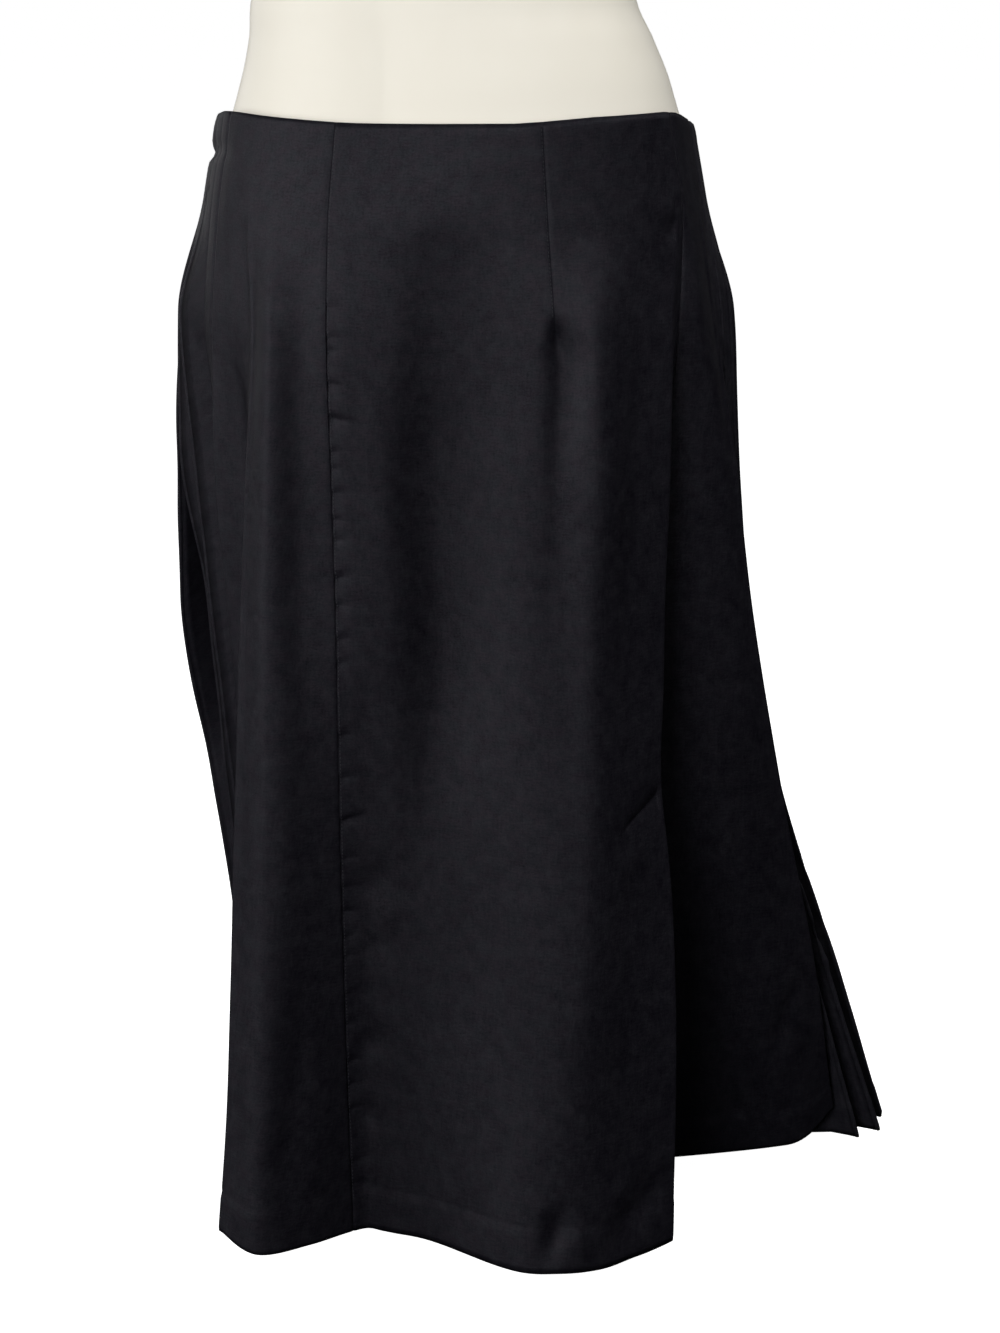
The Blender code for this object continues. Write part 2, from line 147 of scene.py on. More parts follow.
FRONT_LINES = (
    FoldLine("left_seam", PRESSED, -65.0,
             (-0.144, -0.145, -0.138, -0.130, -0.122, -0.114),
             (-0.056, -0.058, -0.058, -0.055, -0.052, -0.050), -0.0038, 0.0, (0.0030, 0.0020)),
    FoldLine("left_hollow", ROUNDED, -60.0,
             (-0.132, -0.122, -0.119, -0.118, -0.115, -0.112),
             (-0.069, -0.073, -0.074, -0.076, -0.080, -0.085), -0.0036, 0.0),
    FoldLine("left_ridge", PRESSED, -51.0,
             (-0.118, -0.122, -0.127, -0.1325, -0.137, -0.144),
             (-0.085, -0.095, -0.104, -0.116, -0.128, -0.139), -0.0026, 0.009, (0.0075, 0.0024)),
    FoldLine("left_lobe", ROUNDED, -43.0,
             (-0.107, -0.108, -0.110, -0.1125, -0.115, -0.118),
             (-0.1030, -0.1125, -0.1205, -0.132, -0.1445, -0.156), -0.0018, 0.0),
    FoldLine("left_valley", ROUNDED, -35.0,
             (-0.0905, -0.0893, -0.0895, -0.0900, -0.0895, -0.0890),
             (-0.1020, -0.1080, -0.1155, -0.1265, -0.1335, -0.1405), -0.0010, 0.0),
    FoldLine("princess_seam", ROUNDED, -28.0,
             (-0.0738, -0.0720, -0.0698, -0.0686, -0.0665, -0.0636),
             (-0.1085, -0.1130, -0.1175, -0.1195, -0.1195, -0.1200), -0.0003, 0.0),
    FoldLine("seam_side", ROUNDED, -22.5,
             (-0.0590, -0.0573, -0.0560, -0.0545, -0.0540, -0.0540),
             (-0.1125, -0.1160, -0.1205, -0.1170, -0.1150, -0.1155), 0.0, 0.0),
    FoldLine("trough_shoulder", ROUNDED, -14.0,
             (-0.0340, -0.0395, -0.0350, -0.0370, -0.0380, -0.0380),
             (-0.1140, -0.1175, -0.1215, -0.1210, -0.1215, -0.1230), 0.0, 0.0),
    FoldLine("middle_trough", ROUNDED, -6.0,
             (-0.0110, -0.0095, -0.0060, -0.0140, -0.0175, -0.0189),
             (-0.1100, -0.1055, -0.1100, -0.1245, -0.1300, -0.1318), 0.0, 0.0),
    FoldLine("middle_ridge", ROUNDED, 14.0,
             (0.0450, 0.0470, 0.0440, 0.0500, 0.0450, 0.0400),
             (-0.1205, -0.1300, -0.1340, -0.1490, -0.1640, -0.1805), 0.0, 0.0),
    FoldLine("dart_line", ROUNDED, 21.0,
             (0.0594, 0.0610, 0.0655, 0.0680, 0.0640, 0.0640),
             (-0.1200, -0.1290, -0.1370, -0.1530, -0.1690, -0.1825), -0.0008, 0.0),
    FoldLine("right_ridge", ROUNDED, 34.0,
             (0.0830, 0.0855, 0.0830, 0.0840, 0.0790, 0.0880),
             (-0.1205, -0.1345, -0.1395, -0.1525, -0.1675, -0.1760), -0.0028, 0.0),
    FoldLine("right_flat", ROUNDED, 46.5,
             (0.1095, 0.1080, 0.1050, 0.1075, 0.1075, 0.1110),
             (-0.0930, -0.1078, -0.1178, -0.1314, -0.1459, -0.1568), -0.0035, 0.0),
    FoldLine("free_edge", PRESSED, 58.6,
             (0.1292, 0.1282, 0.1253, 0.1302, 0.1343, 0.1330),
             (-0.0765, -0.0885, -0.0995, -0.1115, -0.1265, -0.1390), -0.0040, 0.002, (0.0026, 0.0022),
             (0.390, 0.045, -0.0045)),
)

SIDE_LINES = (
    FoldLine("deep_fold", PRESSED, 61.0,
             (0.132, 0.124, 0.116, 0.114, 0.115, 0.116),
             (-0.062, -0.060, -0.058, -0.046, -0.026, -0.008), -0.0036, 0.0, (0.0020, 0.0030)),
    FoldLine("side_flat", ROUNDED, 64.5,
             (0.146, 0.149, 0.152, 0.163, 0.172, 0.1757),
             (-0.055, -0.054, -0.049, -0.032, -0.011, 0.006), -0.003, 0.0),
    FoldLine("side_turn", ROUNDED, 68.0,
             (0.152, 0.161, 0.170, 0.190, 0.208, 0.217),
             (-0.046, -0.047, -0.042, -0.025, -0.003, 0.018), -0.0014, 0.0),
    FoldLine("side_ridge", PRESSED, 72.0,
             (0.1559, 0.169, 0.1822, 0.2064, 0.233, 0.248),
             (-0.036, -0.036, -0.030, -0.014, 0.006, 0.030), 0.0010, 0.022, (0.0034, 0.0022)),
)

BACK_RIGHT_LINES = (
    FoldLine("first_inside", PRESSED, 76.0,
             (0.157, 0.164, 0.172, 0.188, 0.209, 0.224),
             (-0.026, -0.019, -0.008, 0.010, 0.026, 0.040), 0.003, 0.0),
    FoldLine("first_hollow", PRESSED, 78.0,
             (0.159, 0.1655, 0.1745, 0.1915, 0.2255, 0.2490),
             (-0.022, -0.016, -0.004, 0.013, 0.025, 0.041), 0.004, 0.0),
    FoldLine("first_pleat", PRESSED, 80.0,
             (0.162, 0.167, 0.177, 0.1985, 0.2335, 0.2660),
             (-0.018, -0.014, -0.008, 0.004, 0.016, 0.0320), 0.005, 0.0),
    FoldLine("second_inside", PRESSED, 84.0,
             (0.1635, 0.1675, 0.176, 0.197, 0.230, 0.262),
             (-0.010, -0.004, 0.004, 0.019, 0.033, 0.053), 0.006, 0.0),
    FoldLine("second_pleat", PRESSED, 88.0,
             (0.168, 0.172, 0.181, 0.2040, 0.2435, 0.2812),
             (-0.003, 0.000, 0.006, 0.016, 0.029, 0.0440), 0.009, 0.0),
    FoldLine("third_inside", PRESSED, 92.0,
             (0.1675, 0.1715, 0.180, 0.200, 0.236, 0.275),
             (0.005, 0.011, 0.020, 0.037, 0.054, 0.073), 0.01, 0.0),
    FoldLine("third_pleat", PRESSED, 96.0,
             (0.171, 0.1754, 0.1844, 0.2085, 0.2505, 0.2861),
             (0.012, 0.016, 0.025, 0.037, 0.053, 0.068), 0.0105, 0.0),
)

BACK_LEFT_LINES = (
    FoldLine("left_outer_pleat", PRESSED, -97.0,
             (-0.1685, -0.1745, -0.1745, -0.157, -0.141, -0.132),
             (0.016, 0.017, 0.015, 0.029, 0.032, 0.034), 0.01, 0.0),
    FoldLine("left_outer_inside", PRESSED, -92.0,
             (-0.1635, -0.164, -0.160, -0.145, -0.130, -0.118),
             (0.012, 0.020, 0.032, 0.025, 0.021, 0.020), 0.008, 0.0),
    FoldLine("left_thin_pleat", PRESSED, -87.0,
             (-0.1695, -0.171, -0.1565, -0.146, -0.134, -0.124),
             (0.000, 0.003, 0.004, 0.006, 0.008, 0.010), 0.006, 0.0),
    FoldLine("left_middle_inside", PRESSED, -82.0,
             (-0.160, -0.152, -0.142, -0.130, -0.117, -0.106),
             (-0.012, -0.014, -0.014, -0.012, -0.010, -0.008), 0.0025, 0.0),
    FoldLine("left_middle_pleat", PRESSED, -77.0,
             (-0.166, -0.160, -0.151, -0.1385, -0.126, -0.117),
             (-0.025, -0.030, -0.030, -0.028, -0.024, -0.020), -0.001, 0.0),
    FoldLine("left_inner_inside", PRESSED, -70.5,
             (-0.150, -0.140, -0.130, -0.118, -0.108, -0.100),
             (-0.044, -0.044, -0.043, -0.040, -0.037, -0.034), -0.0034, 0.0),
)

BACK_RINGS = (
    BackRing(0.0010, 0.1680, 0.1180, 0.0014),
    BackRing(0.0005, 0.1710, 0.1290, 0.0038),
    BackRing(0.0050, 0.1720, 0.1370, 0.0066),
    BackRing(0.0260, 0.1710, 0.1460, 0.0096),
    BackRing(0.0530, 0.1820, 0.1590, 0.0122),
    BackRing(0.0740, 0.1920, 0.1710, 0.0146),
)


def monotone(places: np.ndarray, values: np.ndarray, at: np.ndarray) -> np.ndarray:
    """Monotone cubic through given values.

    Args:
        places: rising places of the given values.
        values: value at each place.
        at: places to read.

    Returns:
        The value at each place to read.
    """
    steps = np.diff(places)
    rises = np.diff(values) / steps
    before, after = rises[:-1], rises[1:]
    same_way = before * after > 0.0
    total = np.where(same_way, before + after, 1.0)
    inner = np.where(same_way, 2.0 * before * after / total, 0.0)
    slopes = np.concatenate([rises[:1], inner, rises[-1:]])
    k = np.clip(np.searchsorted(places, at, side="left") - 1, 0, len(steps) - 1)
    h = steps[k]
    t = np.clip((at - places[k]) / h, 0.0, 1.0)
    rise = values[k + 1] - values[k]
    return (values[k] + h * slopes[k] * t
            + (3.0 * rise - h * (2.0 * slopes[k] + slopes[k + 1])) * t ** 2
            + (h * (slopes[k] + slopes[k + 1]) - 2.0 * rise) * t ** 3)


def smooth(share: np.ndarray) -> np.ndarray:
    """Ease from 0 to 1 as a share goes from 0 to 1."""
    s = np.clip(share, 0.0, 1.0)
    return s * s * (3.0 - 2.0 * s)


def bell(distance: np.ndarray, spread: float) -> np.ndarray:
    """Bell curve of height 1 that has mostly faded at the spread."""
    return np.exp(-(distance / spread) ** 2)


def unit(vectors: np.ndarray) -> np.ndarray:
    """Vectors scaled to length 1."""
    length = np.linalg.norm(vectors, axis=-1, keepdims=True)
    return vectors / np.maximum(length, 1e-12)


@dataclass
class Station:
    """A fold line worked out at every row of a panel.

    Attributes:
        name: the fold line's name.
        kind: pressed edge or rounded drape.
        place: plan place at each row.
        dip: how far the waist edge falls there.
        lift: how far the hem rises there.
        turn: radius of the pressed edge at each row.
    """

    name: str
    kind: FoldKind
    place: np.ndarray
    dip: float
    lift: float
    turn: np.ndarray


@dataclass
class SkirtPlan:
    """The whole skirt in plan, as a closed loop of fold lines at any drop.

    Attributes:
        rings: what the back pleats follow.
        pleats: number of them.
    """

    rings: tuple[BackRing, ...] = BACK_RINGS
    pleats: int = BACK_PLEATS

    SIDE_SPAN = 28.0     # degrees over which the waist edge dips more towards the sides

    def _along(self, at_rings: tuple[float, float], lower: tuple[float, ...],
               drops: np.ndarray) -> np.ndarray:
        """A coordinate at every drop.

        Args:
            at_rings: its value on the waist ring and on the hip ring.
            lower: its value at each of DROPS.
            drops: the drops to read.

        Returns:
            The coordinate at each drop.
        """
        places = np.array((0.0, HIP_RING_DROP) + DROPS)
        return monotone(places, np.array(at_rings + tuple(lower)), drops)

    def _on_rings(self, degrees: float) -> tuple[tuple[float, float], tuple[float, float]]:
        """Where a fold line crosses the two upper rings.

        Args:
            degrees: its place round the rings.

        Returns:
            The x values and the y values on the waist ring and the hip ring.
        """
        turn = math.radians(degrees)
        xs = tuple(ring[0] * math.sin(turn) for ring in (WAIST_RING, HIP_RING))
        ys = tuple(-ring[1] * math.cos(turn) for ring in (WAIST_RING, HIP_RING))
        return xs, ys

    def _line(self, line: FoldLine, drops: np.ndarray) -> Station:
        """A fold line of the tables, worked out.

        Args:
            line: the fold line.
            drops: the drops to read.

        Returns:
            The fold line at every drop.
        """
        xs, ys = self._on_rings(line.around)
        place = np.stack([self._along(xs, line.x, drops), self._along(ys, line.y, drops)], axis=1)
        middle, spread, shift = line.nip
        place[:, 0] += shift * bell(drops - middle, spread)
        turn = np.interp(drops, (0.0, SKIRT_LENGTH), line.turn)
        return Station(line.name, line.kind, place, line.dip, line.lift, turn)

    def _back(self, index: int, drops: np.ndarray) -> Station:
        """One fold of the back pleats: even indices lie inside, odd ones outside.

        Args:
            index: which fold, counted from the right side.
            drops: the drops to read.

        Returns:
            The fold at every drop.
        """
        across = index / (2 * self.pleats)
        degrees = BACK_START + (BACK_END - BACK_START) * across
        turn = math.radians(degrees)
        side = 1.0 if index % 2 else -1.0
        first, last = BACK_RIGHT_LINES[-1], BACK_LEFT_LINES[0]
        lower_x, lower_y = [], []
        for ring, first_y, last_y in zip(self.rings, first.y, last.y):
            level = first_y + (last_y - first_y) * across
            lower_x.append(ring.centre_x + (ring.half_width + side * ring.swing) * math.sin(turn))
            lower_y.append(level - (ring.back_y - level + side * ring.swing) * math.cos(turn))
        xs, ys = self._on_rings(degrees)
        place = np.stack([self._along(xs, tuple(lower_x), drops),
                          self._along(ys, tuple(lower_y), drops)], axis=1)
        radius = np.interp(drops, (0.0, SKIRT_LENGTH), PLEAT_TURN)
        near_side = max(0.0, 1.0 - min(degrees - BACK_START, BACK_END - degrees) / self.SIDE_SPAN)
        dip = BACK_DIP[0] + (BACK_DIP[1] - BACK_DIP[0]) * near_side
        return Station(f"back_{index}", PRESSED, place, dip, 0.0, radius)

    def stations(self, drops: np.ndarray) -> list[Station]:
        """The closed loop of the whole skirt.

        Args:
            drops: the drops to read.

        Returns:
            All its folds in order, at every drop.
        """
        found = [self._line(line, drops) for line in FRONT_LINES + SIDE_LINES + BACK_RIGHT_LINES]
        found += [self._back(index, drops) for index in range(2 * self.pleats + 1)]
        found += [self._line(line, drops) for line in BACK_LEFT_LINES]
        return found


@dataclass(frozen=True)
class SoftCurve:
    """Smooth curve between two neighbouring fold lines, at every row.

    Attributes:
        start: places where it starts.
        end: places where it ends.
        leave: direction and speed at the start.
        arrive: direction and speed at the end.
    """

    start: np.ndarray
    end: np.ndarray
    leave: np.ndarray
    arrive: np.ndarray

    @classmethod
    def through(cls, before: np.ndarray, start: np.ndarray, end: np.ndarray,
                after: np.ndarray) -> "SoftCurve":
        """A curve that heads for its neighbours without looping between close lines.

        Args:
            before: places of the fold line before the start.
            start: places where the curve starts.
            end: places where it ends.
            after: places of the fold line after the end.

        Returns:
            The curve.
        """
        knots = [np.sqrt(np.linalg.norm(b - a, axis=1, keepdims=True))
                 for a, b in ((before, start), (start, end), (end, after))]
        first, middle, last = knots
        leave = (end - start) + middle * ((start - before) / first
                                          - (end - before) / (first + middle))
        arrive = (end - start) + middle * ((after - end) / last
                                           - (after - start) / (middle + last))
        return cls(start, end, leave, arrive)

    def at(self, t: float) -> np.ndarray:
        """Reads the curve at one share of its length.

        Args:
            t: share of the way along.

        Returns:
            The places there, one for each row.
        """
        rise = self.end - self.start
        return (self.start + self.leave * t + (3.0 * rise - 2.0 * self.leave - self.arrive) * t ** 2
                + (self.leave + self.arrive - 2.0 * rise) * t ** 3)


@dataclass
class Trace:
    """A stretch of the loop at every row, as a dense line with its arc lengths.

    Attributes:
        points: plan places, by row and sample.
        arc: arc length from the start, by row and sample.
        dip: dip of the waist edge at each sample.
        lift: lift of the hem at each sample.
        marks: sample index of each fold line.
        folds: the stations inside the stretch.
    """

    points: np.ndarray
    arc: np.ndarray
    dip: np.ndarray
    lift: np.ndarray
    marks: dict[str, int]
    folds: list[Station]

    ROUNDING_ROOM = 0.42    # most of the way to its neighbour that a rounded edge takes
    NO_ROOM = 1e-6

    @classmethod
    def along(cls, loop: list[Station], start: tuple[str, float],
              end: tuple[str, float]) -> "Trace":
        """The stretch of the loop between two places.

        Args:
            loop: all stations of the closed loop.
            start: a fold line and the share of the way on to the next one.
            end: the same for the far end.

        Returns:
            The dense line between them.
        """
        names = [station.name for station in loop]
        count = len(loop)
        first, last = names.index(start[0]), names.index(end[0])
        if last < first:
            last += count
        points, dips, lifts, marks, folds = [], [], [], {}, []
        for k in range(first, last + 1):
            low = start[1] if k == first else 0.0
            high = end[1] if k == last else 1.0
            a, b = loop[k % count], loop[(k + 1) % count]
            marks[a.name] = len(dips)
            if k > first and (k < last or high > 0.0):
                folds.append(a)
            straight = a.kind is PRESSED and b.kind is PRESSED
            steps = 1 if straight else SOFT_SAMPLES
            before = loop[(k - 1) % count].place if a.kind is ROUNDED else 2.0 * a.place - b.place
            after = loop[(k + 2) % count].place if b.kind is ROUNDED else 2.0 * b.place - a.place
            curve = None if straight else SoftCurve.through(before, a.place, b.place, after)
            shares = low + (high - low) * np.arange(steps) / steps
            if k == last:
                shares = np.append(shares, high)
            for t in shares:
                points.append(a.place + (b.place - a.place) * t if straight else curve.at(t))
                dips.append(a.dip + (b.dip - a.dip) * t)
                lifts.append(cls._lift(a.lift, b.lift, t, straight))
        stack = np.stack(points, axis=1)
        lengths = np.linalg.norm(np.diff(stack, axis=1), axis=2)
        arc = np.concatenate([np.zeros((len(stack), 1)), np.cumsum(lengths, axis=1)], axis=1)
        return cls(stack, arc, np.array(dips), np.array(lifts), marks, folds)

    @staticmethod
    def _lift(lift: float, next_lift: float, share: float, straight: bool) -> float:
        """Hem lift between two folds, steepest close to the higher one.

        Args:
            lift: lift at the first fold.
            next_lift: lift at the second one.
            share: share of the way between them.
            straight: whether the cloth runs straight there.

        Returns:
            The lift part of the way.
        """
        if straight:
            return lift + (next_lift - lift) * share
        if next_lift > lift:
            return lift + (next_lift - lift) * share ** 2
        return next_lift + (lift - next_lift) * (1.0 - share) ** 2

    def arc_at(self, name: str) -> np.ndarray:
        """Arc length of a fold line at every row."""
        return self.arc[:, self.marks[name]]

    def read(self, positions: np.ndarray) -> tuple[np.ndarray, np.ndarray, np.ndarray]:
        """Places on the dense line, with pressed edges rounded.

        Args:
            positions: arc lengths, by row and column.

        Returns:
            Plan places by row and column, and the dip and the lift there.
        """
        rows = range(len(positions))
        place = np.stack([np.stack([np.interp(positions[r], self.arc[r], self.points[r, :, axis])
                                    for r in rows]) for axis in (0, 1)], axis=2)
        dip = np.stack([np.interp(positions[r], self.arc[r], self.dip) for r in rows])
        lift = np.stack([np.interp(positions[r], self.arc[r], self.lift) for r in rows])
        for fold, room in self.corners():
            here = self.arc_at(fold.name)
            ends = [np.stack([[np.interp(here[r] + side * room[r], self.arc[r],
                                         self.points[r, :, axis]) for axis in (0, 1)]
                              for r in rows]) for side in (-1.0, 1.0)]
            t = (positions - (here - room)[:, None]) / (2.0 * room[:, None])
            inside = (t > 0.0) & (t < 1.0)
            t = t[:, :, None]
            peak = fold.place + FULLNESS * (fold.place - 0.5 * (ends[0] + ends[1]))
            bend = ((1.0 - t) ** 2 * ends[0][:, None] + 2.0 * t * (1.0 - t) * peak[:, None]
                    + t ** 2 * ends[1][:, None])
            place = np.where(inside[:, :, None], bend, place)
        return place, dip, lift

    def corners(self) -> list[tuple[Station, np.ndarray]]:
        """Finds the folds that are rounded.

        Returns:
            The pressed folds, with the room that their rounding takes on each side at every row.
        """
        found = []
        knots = [self.arc[:, 0]] + [self.arc_at(f.name) for f in self.folds] + [self.arc[:, -1]]
        for k, fold in enumerate(self.folds):
            if fold.kind is not PRESSED:
                continue
            here = knots[k + 1]
            nearest = np.minimum(here - knots[k], knots[k + 2] - here)
            if nearest.max() < self.NO_ROOM:
                continue
            found.append((fold, np.minimum(fold.turn, self.ROUNDING_ROOM * nearest)))
        return found


@dataclass(frozen=True)
class Crease:
    """A soft trough or ridge along a line on the cloth.

    Attributes:
        line: points of the line as (across, drop).
        height: how far the cloth stands out there, negative for a trough.
        spread: distance from the line at which it has mostly faded.
        peak: share of the line's length at which it is strongest.
        steep: spread on the right side of the line, going down it, as a share of spread.
    """

    line: tuple[tuple[float, float], ...]
    height: float
    spread: float
    peak: float = 0.5
    steep: float = 1.0

    def relief(self, across: np.ndarray, drop: np.ndarray) -> np.ndarray:
        """Height of the cloth over its plain form.

        Args:
            across: coordinate across the cloth at every grid point.
            drop: drop at every grid point.

        Returns:
            The height at every grid point.
        """
        points = np.array(self.line)
        runs = np.linalg.norm(np.diff(points, axis=0), axis=1)
        total = runs.sum()
        nearest = np.full(across.shape, np.inf)
        along = np.zeros(across.shape)
        side = np.zeros(across.shape)
        covered = 0.0
        for start, end, run in zip(points, points[1:], runs):
            step = (end - start) / run
            off_x, off_y = across - start[0], drop - start[1]
            t = np.clip(off_x * step[0] + off_y * step[1], 0.0, run)
            distance = np.hypot(off_x - t * step[0], off_y - t * step[1])
            closer = distance < nearest
            nearest = np.where(closer, distance, nearest)
            along = np.where(closer, (covered + t) / total, along)
            side = np.where(closer, off_x * step[1] - off_y * step[0], side)
            covered += run
        spread = np.where(side > 0.0, self.spread * self.steep, self.spread)
        rise = smooth(along / self.peak) if self.peak > 0.0 else np.ones(across.shape)
        fall = smooth((1.0 - along) / (1.0 - self.peak)) if self.peak < 1.0 else rise
        strength = np.where(along < self.peak, rise, fall)
        return self.height * strength * bell(nearest, spread)


@dataclass(frozen=True)
class Pucker:
    """A short crease that a tight seam pulls into the cloth beside it.

    Attributes:
        drop: where it meets the seam.
        reach: how far it runs from the seam.
        depth: how deep it is.
        tilt: how much it falls for each metre away from the seam.
    """

    drop: float
    reach: float
    depth: float
    tilt: float

    UPPER_WALL = 0.0017      # spread of the short wall above the crease
    LOWER_SLOPE = 0.0072     # spread of the long slope below it
    SEAM_EASE = 0.0009       # distance over which it starts beside the seam
    DEEPEN = 2.3

    def relief(self, off_seam: np.ndarray, drop: np.ndarray) -> np.ndarray:
        """Height of the cloth over its plain form.

        Args:
            off_seam: distance from the seam at every grid point.
            drop: drop at every grid point.

        Returns:
            The height at every grid point.
        """
        below = drop - self.drop - self.tilt * off_seam
        fade = bell(off_seam, self.reach) * (1.0 - np.exp(-off_seam / self.SEAM_EASE))
        crease = np.where(below < 0.0, bell(below, self.UPPER_WALL),
                          np.exp(-np.maximum(below, 0.0) / self.LOWER_SLOPE))
        return -self.DEEPEN * self.depth * fade * crease


@dataclass(frozen=True)
class Ripple:
    """Slight unevenness of hanging cloth, as a few long waves laid over each other.

    Attributes:
        height: how far it stands out.
        seed: which of the repeatable patterns.
        across: shortest wave across the cloth.
        down: shortest wave down the cloth.
    """

    height: float
    seed: int
    across: float = 0.020
    down: float = 0.060

    WAVES = 14
    LONGEST = 4.0      # the longest wave, as a multiple of the shortest

    def relief(self, across: np.ndarray, drop: np.ndarray) -> np.ndarray:
        """Height of the cloth over its plain form.

        Args:
            across: coordinate across the cloth at every grid point.
            drop: drop at every grid point.

        Returns:
            The height at every grid point.
        """
        draw = np.random.RandomState(self.seed)
        total = np.zeros(across.shape)
        for _ in range(self.WAVES):
            stretch = draw.uniform(1.0, self.LONGEST)
            turn_x = 2.0 * math.pi * draw.uniform(-1.0, 1.0) / (self.across * stretch)
            turn_y = 2.0 * math.pi * draw.uniform(-1.0, 1.0) / (self.down * stretch)
            total += np.sin(turn_x * across + turn_y * drop + draw.uniform(0.0, 6.28))
        return self.height * total / math.sqrt(self.WAVES)


@dataclass(frozen=True)
class Finish:
    """A finish that makes its own node material.

    Attributes:
        name: the material's name.
    """

    name: str

    NOISE_SPAN = (0.3, 0.7)    # range that most noise values lie in

    def _start(self) -> tuple[bpy.types.Material, bpy.types.NodeTree, bpy.types.Node]:
        """Starts a node material.

        Returns:
            The material, its tree and its shader.
        """
        material = bpy.data.materials.new(self.name)
        material.use_nodes = True
        tree = material.node_tree
        return material, tree, tree.nodes["Principled BSDF"]

    @staticmethod
    def _noise(tree: bpy.types.NodeTree, source: bpy.types.NodeSocket,
               scale: tuple[float, float, float], detail: float) -> bpy.types.NodeSocket:
        """Noise with its own grain in each direction.

        Args:
            tree: the material's tree.
            source: the coordinates in metres.
            scale: grains per metre in each direction.
            detail: octaves of finer noise.

        Returns:
            The noise value's socket.
        """
        grain = tree.nodes.new("ShaderNodeMapping")
        grain.inputs["Scale"].default_value = scale
        noise = tree.nodes.new("ShaderNodeTexNoise")
        noise.inputs["Scale"].default_value = 1.0
        noise.inputs["Detail"].default_value = detail
        noise.inputs["Roughness"].default_value = 0.6
        tree.links.new(source, grain.inputs["Vector"])
        tree.links.new(grain.outputs["Vector"], noise.inputs["Vector"])
        return noise.outputs["Fac"]

    @staticmethod
    def _blend(tree: bpy.types.NodeTree, a: bpy.types.NodeSocket, b: bpy.types.NodeSocket,
               share: float) -> bpy.types.NodeSocket:
        """Two values mixed.

        Args:
            tree: the material's tree.
            a: the first value's socket.
            b: the second value's socket.
            share: share that the second one takes.

        Returns:
            The mixed value's socket.
        """
        mix = tree.nodes.new("ShaderNodeMix")
        mix.data_type = "FLOAT"
        mix.inputs[0].default_value = share
        tree.links.new(a, mix.inputs[2])
        tree.links.new(b, mix.inputs[3])
        return mix.outputs[0]

    @staticmethod
    def _ramp(tree: bpy.types.NodeTree, value: bpy.types.NodeSocket,
              stops: tuple[tuple[float, tuple[float, float, float]], ...]) -> bpy.types.NodeSocket:
        """Colours picked by a value.

        Args:
            tree: the material's tree.
            value: the value's socket.
            stops: places along the value with their colours.

        Returns:
            The colour's socket.
        """
        ramp = tree.nodes.new("ShaderNodeValToRGB")
        elements = ramp.color_ramp.elements
        while len(elements) < len(stops):
            elements.new(0.5)
        for element, (place, colour) in zip(elements, stops):
            element.position = place
            element.color = (*colour, 1.0)
        tree.links.new(value, ramp.inputs["Fac"])
        return ramp.outputs["Color"]

    @staticmethod
    def _range(tree: bpy.types.NodeTree, value: bpy.types.NodeSocket, low: float,
               high: float) -> bpy.types.NodeSocket:
        """A noise value spread over a range of its own.

        Args:
            tree: the material's tree.
            value: the noise value's socket.
            low: lowest value of the range.
            high: highest value of the range.

        Returns:
            The spread value's socket.
        """
        spread = tree.nodes.new("ShaderNodeMapRange")
        spread.inputs["From Min"].default_value = Finish.NOISE_SPAN[0]
        spread.inputs["From Max"].default_value = Finish.NOISE_SPAN[1]
        spread.inputs["To Min"].default_value = low
        spread.inputs["To Max"].default_value = high
        tree.links.new(value, spread.inputs["Value"])
        return spread.outputs["Result"]

    @staticmethod
    def _bump(tree: bpy.types.NodeTree, shader: bpy.types.Node, height: bpy.types.NodeSocket,
              distance: float, strength: float) -> None:
        """Fine surface relief on the shader.

        Args:
            tree: the material's tree.
            shader: the shader that gets the relief.
            height: the relief's socket.
            distance: height of the relief in metres.
            strength: share of it that shows.
        """
        bump = tree.nodes.new("ShaderNodeBump")
        bump.inputs["Distance"].default_value = distance
        bump.inputs["Strength"].default_value = strength
        tree.links.new(height, bump.inputs["Height"])
        tree.links.new(bump.outputs["Normal"], shader.inputs["Normal"])


